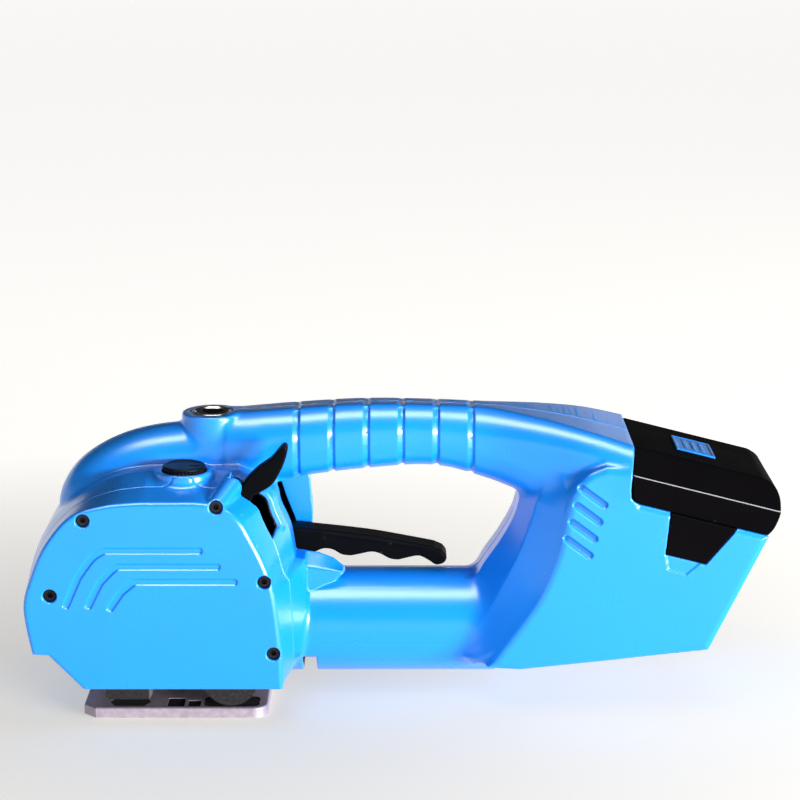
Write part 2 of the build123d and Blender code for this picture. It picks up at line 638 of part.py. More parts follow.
mesh = math.atan2(WHEEL[1] - DRIVE[1], WHEEL[0] - DRIVE[0])
save(spur_gear(*DRIVE, SPUR_PINION_TEETH, SPUR_MODULE, SHAFT_R, GEAR_Y0, GEAR_Y1 + 0.4,
               mesh + math.pi / SPUR_PINION_TEETH), "spur_pinion")
save(spur_gear(*WHEEL, SPUR_GEAR_TEETH, SPUR_MODULE, SHAFT_R, GEAR_Y0, GEAR_Y1, mesh + math.pi), "wheel_gear")
save(rod_y(*WHEEL, SHAFT_R, RAM_NEAR - 0.5, WALL_MID[1]), "wheel_shaft")

with BuildPart() as tension_wheel:
    with BuildSketch(side_plane(RAM_FAR - 1)):
        with Locations(WHEEL):
            Polygon(*[((WHEEL_R - 0.5 * (i % 2)) * math.cos(math.pi * i / 48),
                       (WHEEL_R - 0.5 * (i % 2)) * math.sin(math.pi * i / 48)) for i in range(96)], align=None)
            Circle(SHAFT_R, mode=Mode.SUBTRACT)
    extrude(amount=RAM_FAR - 1 - RAM_NEAR)
save(tension_wheel.part, "tension_wheel")


def pulley(x, z, radius):
    """A flanged belt pulley."""
    with BuildPart() as made:
        add(rod_y(x, z, radius, PULLEY_Y0, PULLEY_Y1))
        add(rod_y(x, z, radius + 1.0, PULLEY_Y0 - 1.0, PULLEY_Y0))
        add(rod_y(x, z, SHAFT_R, PULLEY_Y0 - 2, PULLEY_Y1 + 1), mode=Mode.SUBTRACT)
    return made.part


save(pulley(*DRIVE, PULLEY_DRIVE_R), "drive_pulley")
save(pulley(*ECCENTRIC, PULLEY_ECC_R), "eccentric_pulley")

with BuildPart() as eccentric_shaft:
    add(rod_y(*ECCENTRIC, SHAFT_R, RAM_FAR, PULLEY_Y1 + 0.6))
    add(rod_y(ECCENTRIC[0] + ECCENTRICITY, ECCENTRIC[1], JOURNAL_R, RAM_NEAR + 1, RAM_FAR))
save(eccentric_shaft.part, "eccentric_shaft")

with BuildPart() as drive_belt:
    with BuildSketch(side_plane(PULLEY_Y1)):
        for extra, belt_mode in [(GAP + BELT_THICK, Mode.ADD), (GAP, Mode.SUBTRACT)]:
            with BuildSketch(mode=Mode.PRIVATE) as loop:
                with Locations(DRIVE):
                    Circle(PULLEY_DRIVE_R + extra)
                with Locations(ECCENTRIC):
                    Circle(PULLEY_ECC_R + extra)
                make_hull()
            add(loop.sketch, mode=belt_mode)
    extrude(amount=PULLEY_Y1 - PULLEY_Y0 - GAP)
save(drive_belt.part, "drive_belt")


# ---------------------------------------------------------------- foot
PAD_X0, PAD_X1, PAD_NEAR, PAD_FAR = 13.0, 39.0, -44.0, -31.0
WEAR_PADS = [((0.0, -38.5), 8.0, 11.0), ((8.5, -40.0), 6.0, 8.0)]  # middle, width, length
JAW_SEAT = [(-31.0, -38.0), (-28.5, -43.5), (-14.5, -43.5), (-12.0, -38.0), (-14.5, -32.5), (-28.5, -32.5)]
SEAT_DEPTH = 2.0
with BuildPart() as foot:
    with BuildSketch():
        with Locations(((FOOT_X0 + FOOT_X1) / 2, (FOOT_NEAR + FOOT_FAR) / 2)):
            Rectangle(FOOT_X1 - FOOT_X0, FOOT_FAR - FOOT_NEAR)
        chamfer(vertices().group_by(Axis.X)[0], 6.0)
        fillet(vertices().group_by(Axis.X)[-1], 7.0)
    extrude(amount=FOOT_TOP)
    fillet(edges().group_by(Axis.Z)[-1], 1.0)
    for ear_y0, ear_y1 in [(WALL_NEAR[1] + GAP, -11.7), (8.7, WALL_FAR[0] - GAP)]:
        add(rod_y(*FOOT_PIVOT, 5.5, ear_y0, ear_y1))
        add(block(FOOT_PIVOT[0] - 5.5, FOOT_PIVOT[0] + 5.5, ear_y0, ear_y1, 3.0, FOOT_PIVOT[1]))
        add(rod_y(*FOOT_PIVOT, PIN_R + RUN, ear_y0, ear_y1), mode=Mode.SUBTRACT)
    # seats of the lower jaw, the anvil and the two wear pads between them
    with BuildSketch(Plane.XY.offset(FOOT_TOP)):
        Polygon(*JAW_SEAT, align=None)
        with Locations(((PAD_X0 + PAD_X1) / 2, (PAD_NEAR + PAD_FAR) / 2)):
            RectangleRounded(PAD_X1 - PAD_X0, PAD_FAR - PAD_NEAR, 3.0)
    extrude(amount=-SEAT_DEPTH, mode=Mode.SUBTRACT)
    with BuildSketch(Plane.XY.offset(FOOT_TOP)):
        for place, width, length in WEAR_PADS:
            with Locations(place):
                Rectangle(width, length)
    extrude(amount=-SEAT_DEPTH, mode=Mode.SUBTRACT)
save(foot.part, "foot")

with BuildPart() as lower_jaw:
    with BuildSketch(Plane.XY.offset(FOOT_TOP - SEAT_DEPTH)):
        Polygon(*JAW_SEAT, align=None)
    extrude(amount=SEAT_DEPTH)
    with BuildSketch(Plane.YZ.offset(-40.0)):
        with Locations([(-43.0 + 1.0 * i, FOOT_TOP) for i in range(11)]):
            Rectangle(0.5, 0.6, rotation=45)
    extrude(amount=40.0, mode=Mode.SUBTRACT)
save(lower_jaw.part, "lower_jaw")

with BuildPart() as anvil:
    with BuildSketch(Plane.XY.offset(FOOT_TOP - SEAT_DEPTH)):
        with Locations(((PAD_X0 + PAD_X1) / 2, (PAD_NEAR + PAD_FAR) / 2)):
            RectangleRounded(PAD_X1 - PAD_X0, PAD_FAR - PAD_NEAR, 3.0)
    extrude(amount=SEAT_DEPTH)
    with BuildSketch(Plane.YZ.offset(PAD_X0)):
        with Locations([(PAD_NEAR + 1.3 * i, FOOT_TOP) for i in range(1, 10)]):
            Rectangle(0.5, 0.6, rotation=45)
    extrude(amount=PAD_X1 - PAD_X0, mode=Mode.SUBTRACT)
    with BuildSketch(Plane.XY.offset(FOOT_TOP - SEAT_DEPTH)):
        for place, width, length in WEAR_PADS:
            with Locations(place):
                Rectangle(width, length)
    extrude(amount=SEAT_DEPTH - 0.4)
save(anvil.part, "anvil")


# ---------------------------------------------------------------- lift lever, rod and spring
LEVER_TOP = [(8.0, 83.0), (30.0, 82.6), (57.0, 80.4), (88.4, 76.9), (108.2, 73.4), (122.5, 70.6)]
LEVER_TIP = [(126.4, 69.0), (126.4, 65.0), (123.6, 62.8)]
LEVER_LOW = [(119.0, 63.6), (114.0, 66.2), (108.5, 65.6), (103.0, 64.4), (97.0, 65.6), (91.0, 68.4), (85.5, 67.6),
             (80.0, 66.4), (74.5, 67.2), (68.0, 69.0), (57.2, 67.6), (30.0, 67.4)]
LEVER_HALF = 7.0
nose_angle = math.radians(LIFT_RANGE / 2)
LIFT_ROLLER = (LIFT_PIVOT[0] - LIFT_NOSE * math.cos(nose_angle), LIFT_PIVOT[1] + LIFT_NOSE * math.sin(nose_angle))
ROD_TOP = LIFT_ROLLER[1] - ROLLER_R - GAP

with BuildPart() as lift_lever:
    with BuildSketch(side_plane(LEVER_HALF)):
        with BuildLine():
            Spline(*LEVER_TOP)
            Spline(LEVER_TOP[-1], *LEVER_TIP, *LEVER_LOW)
            Polyline(LEVER_LOW[-1], (8.0, 67.0), LEVER_TOP[0])
        make_face()
    extrude(amount=2 * LEVER_HALF)
    grip_edges = edges().filter_by(GeomType.BSPLINE)
    fillet(grip_edges, 2.5)
    add(rod_y(*LIFT_PIVOT, 8.0, -LEVER_HALF, LEVER_HALF))
    add(slab([(8.0, 81.0), (-4.0, 80.4), (-8.0, 76.5), (-6.0, 72.6), (8.0, 69.0)], -LEVER_HALF, LEVER_HALF))
    add(block(-12.0, LIFT_ROLLER[0] + 5.0, -4.3, 4.3, 60.0, 85.0), mode=Mode.SUBTRACT)
    add(rod_y(*LIFT_PIVOT, PIN_R + RUN, -LEVER_HALF, LEVER_HALF), mode=Mode.SUBTRACT)
    add(rod_y(*LIFT_ROLLER, 1.5, -LEVER_HALF, LEVER_HALF), mode=Mode.SUBTRACT)
save(lift_lever.part, "lift_lever")

with BuildPart() as lift_roller:
    add(rod_y(*LIFT_ROLLER, ROLLER_R, -4.0, 4.0))
    add(rod_y(*LIFT_ROLLER, 1.5, -LEVER_HALF, LEVER_HALF))
save(lift_roller.part, "lift_roller")

with BuildPart() as lift_rod:
    add(block(ROD_X - ROD_HALF, ROD_X + ROD_HALF, -ROD_HALF, ROD_HALF, FOOT_TOP + GAP, ROD_TOP))
    with Locations((ROD_X, 0, ROD_COLLAR_Z)):
        Cylinder(9.0, 3.0, align=BASE)
save(lift_rod.part, "lift_rod")

SPRING_WIRE = 0.6
with BuildPart() as rod_spring:
    with BuildLine() as coil:
        Helix(pitch=2.45, height=ROD_COLLAR_Z - GUIDE_Z1 - 2 * SPRING_WIRE - 0.1, radius=7.2,
              center=(ROD_X, 0, GUIDE_Z1 + SPRING_WIRE + 0.05))
    with BuildSketch(Plane(origin=coil.line @ 0, z_dir=coil.line % 0)):
        Circle(SPRING_WIRE)
    sweep()
save(rod_spring.part, "rod_spring")


# ---------------------------------------------------------------- weld lever and ram
ARM = [(-38.0, 77.0), (-5.0, 86.5), (16.0, 92.0), (26.0, 97.5), (30.3, 105.2), (34.7, 112.5), (40.5, 118.0),
       (46.0, 122.0), (51.5, 128.1), (53.4, 126.7), (52.4, 122.0), (50.2, 116.1), (46.7, 110.3), (42.4, 107.1),
       (37.8, 104.5), (32.0, 93.5), (20.0, 86.0), (0.0, 79.5), (-18.0, 73.0), (-30.0, 66.0)]
half_throw = math.radians(WELD_RANGE / 2)
WELD_ROLLER = (WELD_PIVOT[0] + WELD_NOSE * math.cos(half_throw), WELD_PIVOT[1] + WELD_NOSE * math.sin(half_throw))
RAM_TOP = WELD_ROLLER[1] - ROLLER_R - GAP
ARM_MID = (WELD_ARM_Y0 + WELD_ARM_Y1) / 2

with BuildPart() as weld_lever:
    add(slab(ARM, WELD_ARM_Y0, WELD_ARM_Y1))
    add(rod_y(*WELD_PIVOT, 7.5, WELD_ARM_Y0, WELD_ARM_Y1))
    add(block(-30.0, WELD_ROLLER[0] + 4.0, ARM_MID - 2.3, ARM_MID + 2.3, 55.0, 78.0), mode=Mode.SUBTRACT)
    add(rod_y(*WELD_PIVOT, PIN_R + RUN, WELD_ARM_Y0, WELD_ARM_Y1), mode=Mode.SUBTRACT)
    add(rod_y(*WELD_ROLLER, 1.2, WELD_ARM_Y0, WELD_ARM_Y1), mode=Mode.SUBTRACT)
save(weld_lever.part, "weld_lever")

with BuildPart() as weld_roller:
    add(rod_y(*WELD_ROLLER, ROLLER_R, ARM_MID - 2.0, ARM_MID + 2.0))
    add(rod_y(*WELD_ROLLER, 1.2, WELD_ARM_Y0, WELD_ARM_Y1))
save(weld_roller.part, "weld_roller")

WELD_STROKE = 2 * WELD_NOSE * math.sin(half_throw)
SLOT_HALF = JOURNAL_R + ECCENTRICITY + 0.2
RAM_BODY_TOP = 54.0
with BuildPart() as weld_ram:
    add(block(RAM_X0, RAM_X1, RAM_NEAR, RAM_FAR, RAM_BOTTOM, RAM_BODY_TOP))
    add(block(WELD_ROLLER[0] - 3.0, WELD_ROLLER[0] + 3.0, ARM_MID - 2.0, ARM_MID + 2.0, RAM_BODY_TOP, RAM_TOP))
    slot_low, slot_high = ECCENTRIC[1] - SLOT_HALF, ECCENTRIC[1] + SLOT_HALF + WELD_STROKE
    add(block(ECCENTRIC[0] - SLOT_HALF, ECCENTRIC[0] + SLOT_HALF, -50, -30, slot_low, slot_high),
        mode=Mode.SUBTRACT)
save(weld_ram.part, "weld_ram")

with BuildPart() as upper_jaw:
    add(block(RAM_X0 + 1, RAM_X1 - 1, RAM_NEAR + 1, RAM_FAR - 1, RAM_BOTTOM - JAW_THICK, RAM_BOTTOM))
    with BuildSketch(Plane.YZ.offset(RAM_X0)):
        with Locations([(RAM_NEAR + 1 + 1.0 * i, RAM_BOTTOM - JAW_THICK) for i in range(1, 13)]):
            Rectangle(0.5, 0.6, rotation=45)
    extrude(amount=RAM_X1 - RAM_X0, mode=Mode.SUBTRACT)
save(upper_jaw.part, "upper_jaw")
save(slab([(RAM_X1, 24.0), (RAM_X1, 9.6), (RAM_X1 + 0.4, 9.2), (RAM_X1 + 1.6, 11.5), (RAM_X1 + 1.6, 22.4)],
          RAM_NEAR + 1, RAM_FAR - 1), "strap_cutter")


# ---------------------------------------------------------------- controls
with BuildPart() as tension_button:
    with Locations((BUTTON[0], BUTTON[1], BUTTON[2] - 7.0)):
        Cylinder(BUTTON_R, 7.6, align=BASE)
    with Locations((BUTTON[0], BUTTON[1], BUTTON[2] - 13.0)):
        Cylinder(3.0, 6.0, align=BASE)
    chamfer(edges().group_by(Axis.Z)[-1], 0.8)
save(tension_button.part, "tension_button")

with BuildPart() as button_bezel:
    with Locations((BUTTON[0], BUTTON[1], BUTTON[2] - 4.0)):
        Cylinder(BEZEL_R, 5.0, align=BASE)
    chamfer(edges().group_by(Axis.Z)[-1], 0.6)
    with Locations((BUTTON[0], BUTTON[1], BUTTON[2] - 5.0)):
        Cylinder(BUTTON_R + GAP, 8.0, align=BASE, mode=Mode.SUBTRACT)
save(button_bezel.part, "button_bezel")

with BuildPart() as tension_switch:
    add(block(BUTTON[0] - 8, BUTTON[0] + 8, -5, 5, BUTTON[2] - 25, BUTTON[2] - 17.5))
    add(block(BUTTON[0] - 2, BUTTON[0] + 2, -2, 2, BUTTON[2] - 17.5, BUTTON[2] - 16.4))
save(tension_switch.part, "tension_switch")

with BuildPart() as tension_dial:
    with Locations((DIAL[0], DIAL[1], DIAL[2] - 4.0)):
        Cylinder(DIAL_R, 6.0, align=BASE)
    fillet(edges().group_by(Axis.Z)[-1], 0.8)
    with Locations((DIAL[0], DIAL[1], 99.0)):
        Cylinder(2.0, DIAL[2] - 4.0 - 99.0, align=BASE)
    with Locations((DIAL[0] + 5.5, DIAL[1], DIAL[2] + 2.0)):
        Box(6.0, 1.2, 1.0, mode=Mode.SUBTRACT)
save(tension_dial.part, "tension_dial")

with BuildPart() as dial_potentiometer:
    with Locations((DIAL[0], DIAL[1], 93.0)):
        Cylinder(7.0, 5.0, align=BASE)
    with Locations((DIAL[0], DIAL[1], 98.0)):
        Cylinder(3.2, 4.5, align=BASE)
    with Locations((DIAL[0], DIAL[1], 93.0)):
        Cylinder(2.0 + RUN, 12.0, align=BASE, mode=Mode.SUBTRACT)
save(dial_potentiometer.part, "dial_potentiometer")

BOARD_X = 194.0
with BuildPart() as control_board:
    add(block(BOARD_X, BOARD_X + 1.6, -20, 20, 40, 92))
    for y, z, size in [(-12, 84, 7.0), (0, 84, 7.0), (12, 84, 7.0)]:
        add(block(BOARD_X - 4.4, BOARD_X, y - size / 2, y + size / 2, z - 5, z + 5))
    with Locations(to_rear(BOARD_X - 10.0, -9, 58), to_rear(BOARD_X - 10.0, 8, 58)):
        Cylinder(5.0, 10.0, align=BASE)
    add(block(BOARD_X + 1.6, BOARD_X + 3.2, -7, 7, 62, 76))
save(control_board.part, "control_board")


# ---------------------------------------------------------------- battery
CAP_SIDE = [(0.0, 0.0), (3.65, -20.5), (7.0, SEAM_N), (69.4, SEAM_N), (71.6, -17.5), (71.8, -10.5), (70.0, -5.0),
            (62.0, 0.0)]
STEM_U0, STEM_U1, STEM_U1_LOW = 13.0, 64.5, 56.5
BLADE_Y = (-9.0, 0.0, 9.0)
pack_axis = Plane(origin=(BATTERY_ORIGIN[0], 0, BATTERY_ORIGIN[1]), x_dir=(0, 1, 0),
                  z_dir=(math.cos(math.radians(BATTERY_TILT)), 0, -math.sin(math.radians(BATTERY_TILT))))
with BuildPart() as case_hollow:
    add(battery_slab([(15, STEM_N + 2), (54.5, STEM_N + 2), (62.2, -25.5), (62.2, -21), (67.2, -21), (69.2, -16.5),
                      (69.3, -11), (67.6, -6.6), (61, -2.5), (2.9, -2.5), (5.9, -20.5), (15, -21)], -34, 34))
    with BuildSketch(pack_axis.offset(-10.0)):
        Polygon((-34, -70), (-34, -8.7), (-27.4, -2.4), (27.4, -2.4), (34, -8.7), (34, -70), align=None)
    extrude(amount=100.0, mode=Mode.INTERSECT)

with BuildPart() as battery_case:
    add(battery_slab(CAP_SIDE, -CAP_HALF, CAP_HALF))
    with BuildSketch(pack_axis.offset(-10.0)):
        Polygon((-40, -24), (-40, -11.3), (-28, 0.1), (28, 0.1), (40, -11.3), (40, -24), align=None)
    extrude(amount=100.0, mode=Mode.INTERSECT)
    add(battery_slab([(STEM_U0, SEAM_N), (STEM_U0, STEM_N), (STEM_U1_LOW, STEM_N), (STEM_U1, SEAM_N)],
                     -STEM_HALF, STEM_HALF))
    add(case_hollow.part, mode=Mode.SUBTRACT)
    add(battery_slab([(22, 1), (22, -0.8), (41, -0.8), (41, 1)], -12.0, 13.0), mode=Mode.SUBTRACT)
    for y in BLADE_Y:
        add(battery_slab([(23, STEM_N - 1), (23, STEM_N + 3), (33, STEM_N + 3), (33, STEM_N - 1)], y - 0.8, y + 0.8),
            mode=Mode.SUBTRACT)
save(battery_case.part, "battery_case")

save(battery_slab([(22.1, 0.3), (22.1, -0.8), (40.9, -0.8), (40.9, 0.3)], -11.9, 12.9), "battery_badge")

with BuildPart() as battery_cells:
    for u in (25.2, 43.9):
        for n in (-31.2, -49.8):
            add(rod_y(*battery_point(u, n), 9.1, -32.5, 32.5))
save(battery_cells.part, "battery_cells")
save(battery_slab([(16, -61.3), (54, -61.3), (54, -59.8), (16, -59.8)], -30, 30), "battery_board")

with BuildPart() as terminal_block:
    add(battery_slab([(18, -87), (38, -87), (38, STEM_N - 1), (18, STEM_N - 1)], -14, 14))
    for y in BLADE_Y:
        add(battery_slab([(24, STEM_N - 1), (32, STEM_N - 1), (32, STEM_N + 3), (24, STEM_N + 3)], y - 0.5, y + 0.5))
save(terminal_block.part, "terminal_block")

TAB = [(23.3, SEAM_N - GAP), (26.6, TAB_N), (45.0, TAB_N), (54.4, SEAM_N - GAP)]
TAB_OUT, TAB_IN = 40.4, 38.0
save(battery_slab(TAB, -TAB_OUT, -TAB_IN), "latch_near")
save(battery_slab(TAB, TAB_IN, TAB_OUT), "latch_far")

with BuildPart() as motor_leads:
    for y in (-10.5, 10.5):
        with BuildLine() as lead:
            Spline((MOTOR_X1 + 5.3, y, TUBE_Z), (148.0, y, 36.0), (164.0, 0.6 * y, 46.0), (BOARD_X - 0.4, 0.6 * y, 46.0),
                   tangents=[(1, 0, 0), (1, 0, 0)])
        with BuildSketch(Plane(origin=lead.line @ 0, z_dir=(1, 0, 0))):
            Circle(1.2)
        sweep(path=lead.line)
save(motor_leads.part, "motor_leads")
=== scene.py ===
import math

import bpy
import numpy as np
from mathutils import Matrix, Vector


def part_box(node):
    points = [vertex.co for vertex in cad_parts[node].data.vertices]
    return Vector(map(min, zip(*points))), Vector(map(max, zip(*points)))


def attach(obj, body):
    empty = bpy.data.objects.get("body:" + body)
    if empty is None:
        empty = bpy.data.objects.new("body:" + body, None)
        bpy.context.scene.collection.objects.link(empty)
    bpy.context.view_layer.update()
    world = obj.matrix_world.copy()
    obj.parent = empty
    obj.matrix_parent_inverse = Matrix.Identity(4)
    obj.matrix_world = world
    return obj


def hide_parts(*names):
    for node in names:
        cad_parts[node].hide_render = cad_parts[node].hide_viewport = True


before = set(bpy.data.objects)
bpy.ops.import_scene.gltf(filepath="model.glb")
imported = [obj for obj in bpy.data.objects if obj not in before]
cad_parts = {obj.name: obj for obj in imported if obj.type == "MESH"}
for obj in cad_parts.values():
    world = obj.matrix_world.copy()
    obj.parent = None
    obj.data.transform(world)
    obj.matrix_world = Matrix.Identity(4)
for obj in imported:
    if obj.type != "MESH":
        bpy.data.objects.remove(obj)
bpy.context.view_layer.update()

import openvdb
from mathutils import Vector

MM = 0.001
PITCH = 0.6  # spacing of the housing's distance field
COVER_PITCH = 0.42
FINE = 0.45  # spacing for small moulded parts
FINEST = 0.25
MOST_TRIANGLES = 190000  # for one piece

# head
HEAD_NEAR, HEAD_FAR = -52.0, 46.0
COVER_NEAR, COVER_FAR, COVER_REAR = -38.0, 34.0, 66.0
HEAD_BOTTOM = 15.8
WALL = 2.5
SEAM = 0.06  # half of the gap between parts of the shell
FAR_OFF = 1e3  # a distance beyond everything
SCREW_HOLE_R, POST_R = 3.05, 4.5
NEAR_SCREWS = [(-38.8, 96.9), (-55.1, 61.3), (21.6, 103.1), (42.7, 67.8), (46.4, 33.4)]
FAR_SCREWS = [(-38.8, 96.9), (-55.1, 61.3), (21.6, 103.1), (42.7, 67.8), (-48.0, 38.0)]
SHELL_SCREWS = [(75.0, 124.0), (120.0, 125.0), (196.0, 104.0), (158.0, 32.0), (236.0, 38.0), (172.0, 62.0)]
TUBE_R, TUBE_Z = 25.0, 34.0
BUTTON = (16.9, 0.0, 135.0)
DIAL = (5.5, -26.2, 114.6)
REAR_HALF = 40.0
RINGS = [56.8 + 16.2 * i for i in range(6)]  # x of the handle's ring grooves

# battery
TILT = math.radians(14.2)
BATTERY_ORIGIN = (211.5, 126.1)
SEAM_N, TAB_N, STEM_N = -23.5, -43.4, -66.0
CAP_HALF, STEM_HALF = 39.5, 36.0
LINE_N = -11.3  # foot of the cap's bevel
HIGHLIGHT_DROP, HIGHLIGHT_HALF = 0.12, 0.2  # where the painted highlight along the bevel lies from there, and half its width

# levers
LIFT_PIVOT, WELD_PIVOT = (8.0, 75.0), (-36.0, 70.0)
LIFT_HALF = 7.0
ARM_NEAR, ARM_FAR = -37.5, -29.5
PIN_R = 2.55


# ---------------------------------------------------------------- outlines
def curve(points, steps=11):
    """Points of a smooth line through the given ones."""
    p = np.array([points[0], *points, points[-1]], float)
    line = []
    for a, b, c, d in zip(p, p[1:], p[2:], p[3:]):
        for t in np.arange(steps) / steps:
            bend = (2 * a - 5 * b + 4 * c - d) * t * t + (3 * b - a - 3 * c + d) * t**3
            line.append(tuple((2 * b + (c - a) * t + bend) / 2))
    return line + [tuple(p[-1])]


def battery_point(u, n):
    """A point of the battery's own frame, u along its top and n out of the shell, in XZ."""
    c, s = math.cos(TILT), math.sin(TILT)
    return (BATTERY_ORIGIN[0] + u * c + n * s, BATTERY_ORIGIN[1] - u * s + n * c)


def battery_line(points):
    return [battery_point(u, n) for u, n in points]


BELLY = [(-41.2, HEAD_BOTTOM), (-56.9, 32.4)]
FACE = (curve([(-64.3, 32.7), (-67.3, 55.0), (-63.6, 69.4), (-56.7, 84.6), (-44.6, 98.7), (-29.0, 103.7),
               (-13.4, 105.1)])
        + curve([(2.1, 105.1), (16.5, 104.6), (28.8, 99.7), (35.8, 90.0), (45.8, 66.0), (50.0, 33.0)])
        + [(50.4, HEAD_BOTTOM)] + BELLY)
CORE_FRONT = [(-66.5, 33.5), (-69.8, 55.0), (-61.5, 82.0), (-46.5, 99.0), (-28.0, 109.8), (-12.0, 113.2)]
CORE_NEAR = (curve(CORE_FRONT)
             + curve([(30.0, 113.5), (45.6, 104.5), (49.0, 95.0), (53.5, 84.0), (55.6, 71.5)])
             + curve([(60.5, 70.5), (60.3, 40.0), (58.5, 25.0), (53.0, HEAD_BOTTOM)]) + BELLY)
CORE_FAR = (curve(CORE_FRONT)
            + curve([(40.0, 113.5), (58.7, 108.6), (62.4, 91.0), (62.6, 78.0), (60.5, 60.0), (60.3, 40.0),
                     (58.5, 25.0), (53.0, HEAD_BOTTOM)]) + BELLY)
REAR_FRONT = [(145.5, 22.3), (158.1, 40.2), (168.4, 56.0), (174.5, 70.3), (178.4, 83.5), (181.3, 97.7),
              (184.2, 107.0), (190.0, 114.6), (198.5, 118.0)]
REAR = (curve(REAR_FRONT) + [(214.0, 115.0), battery_point(9.0, SEAM_N), battery_point(70.0, SEAM_N),
                             (247.7, 31.0), (197.8, 25.4), (160.5, 21.4)])
REAR_BELLY = [(160.5, 21.0), (205.0, 26.0), (206.0, 108.0)]
MIDDLE = (curve([(178.0, 113.0), (168.4, 100.7), (165.4, 90.8), (159.3, 73.0), (147.9, 49.4),
                 (140.5, 35.8), (135.2, 23.0)])
          + [(139.0, 19.2)] + REAR_BELLY)
FLANK = (curve([(170.0, 112.0), (161.6, 100.0), (157.7, 87.5), (151.3, 75.5), (143.4, 63.6), (138.0, 52.0),
                (131.0, 38.0), (125.5, 21.0)]) + [(132.0, 17.8), (146.0, 18.4)] + REAR_BELLY)
DOME = curve([(-36.0, 76.0), (-40.5, 89.0), (-37.5, 98.0), (-30.0, 105.0), (-19.0, 110.6), (-6.0, 114.0),
              (12.0, 116.0), (36.0, 118.0)])
NOSE_SIDE = [(50.0, 50.0), (60.0, 52.0), (74.0, 58.0), (78.0, 61.4), (77.4, 62.4), (57.0, 65.0),
             (50.0, 65.0)]
NOSE_RIDGE = [(50.0, 50.0), (60.0, 52.0), (74.0, 56.0), (79.0, 60.6), (78.4, 63.0), (73.6, 67.4),
              (66.3, 70.4), (56.7, 71.4), (50.0, 71.4)]
CHEEK = [(46.8, 103.0), (50.2, 92.0), (54.4, 81.0), (56.0, 68.0), (66.0, 68.0), (66.0, 110.0),
         (46.0, 110.0)]
THUMB_SLOT_LOW = (85.0, 88.6)  # its lower rear corner, at the near and the far end of the slot
THUMB_SLOTS = [[(25, 92), (28, 117), (46, 117), (62, 96), (62, low), (46, low - 0.6), (36, 76)]
               for low in THUMB_SLOT_LOW]
SLOT_FRAME = [(47.0, 84.4), (49.6, 87.8), (45.5, 98.0), (42.5, 103.5)]
UNDERSIDE = [(-39.5, 8), (49.0, 8), (50.0, 20), (-44.0, 20)]
TUBE_PARTING = [(64, 28.6), (64, 29.4), (130, 29.4), (130, 28.6)]
LOUVRES, LOUVRE_TOP = 4, (192.3, 105.0)
LATCH_WINDOW = [(226.0, 80.0), (227.6, 70.4), (236.0, 67.8), (242.6, 73.6), (245.0, 77.0)]
FACE_GROOVES = [
    [(-47.7, 56.8), (-41.7, 70.2), (-35.0, 79.2), (-29.4, 82.8), (13.6, 82.8)],
    [(-37.5, 56.6), (-31.8, 67.8), (-25.7, 74.0), (-22.9, 75.2), (21.5, 75.2)],
    [(-27.7, 55.4), (-22.4, 63.0), (-16.8, 67.6), (-14.5, 68.0), (29.1, 68.0)],
]

LEVER = (curve([(8.0, 83.0), (30.0, 82.6), (57.0, 80.4), (88.4, 76.9), (108.2, 73.4), (120.5, 71.0)])
         + curve([(124.6, 69.2), (126.6, 66.2), (125.4, 63.2), (121.5, 62.2), (118.4, 64.2), (113.6, 66.6),
                  (108.5, 65.8)], 4)
         + curve([(103.6, 64.6), (99.6, 65.2), (95.2, 67.6), (91.0, 68.6), (86.0, 67.6)], 4)
         + curve([(81.4, 66.7), (77.0, 67.2), (72.8, 69.6), (68.5, 70.2), (64.5, 68.6)], 4)
         + [(60.0, 67.8), (8.0, 67.0)])
LEVER_ARM = [(8.0, 81.0), (-4.0, 80.4), (-8.0, 76.5), (-6.0, 72.6), (8.0, 69.0)]
THUMB_ARM = (curve([(-38.0, 77.0), (-5.0, 86.5), (16.0, 92.0), (26.0, 97.5), (30.3, 105.2), (34.7, 112.5),
                    (40.5, 118.0), (46.0, 122.0), (50.8, 127.6), (52.6, 128.2), (53.5, 126.3),
                    (52.4, 121.5), (50.2, 116.1), (46.7, 110.3), (42.4, 107.1), (37.8, 104.5)], 4)
             + curve([(32.0, 93.5), (20.0, 86.0), (0.0, 79.5), (-18.0, 73.0), (-30.0, 66.0)], 4))
CAP = (curve([(0.0, 0.0), (1.5, -11.0), (3.2, -18.3), (4.6, -21.6), (7.5, -23.3), (11.0, SEAM_N)], 4)
       + curve([(69.2, SEAM_N), (71.0, -20.0), (71.9, -15.0), (71.8, -10.6), (70.6, -6.0), (67.6, -2.4),
                (62.0, 0.0)], 4))
CAP_CROSS = [(-CAP_HALF, SEAM_N - 1), (-CAP_HALF, LINE_N), (-28.0, 0.0), (28.0, 0.0), (CAP_HALF, LINE_N),
             (CAP_HALF, SEAM_N - 1)]
CAP_HOLLOW = [(2.9, -2.5), (5.9, -20.5), (15.0, -21.0), (15.0, STEM_N + 2), (54.5, STEM_N + 2),
              (62.2, -25.5), (62.2, -21.0), (67.2, -21.0), (69.2, -16.5), (69.3, -11.0), (67.6, -6.6),
              (61.0, -2.5)]
HOLLOW_CROSS = [(-34.0, -70.0), (-34.0, -8.7), (-27.4, -2.4), (27.4, -2.4), (34.0, -8.7), (34.0, -70.0)]
STEM = [(13.0, SEAM_N + 3), (13.0, STEM_N), (56.5, STEM_N), (64.5, SEAM_N + 3)]
STEM_CROSS = [(-STEM_HALF, STEM_N), (-STEM_HALF, SEAM_N + 3), (STEM_HALF, SEAM_N + 3), (STEM_HALF, STEM_N)]
TAB = [(23.3, SEAM_N - 0.3), (26.6, TAB_N), (45.0, TAB_N), (54.4, SEAM_N - 0.3)]
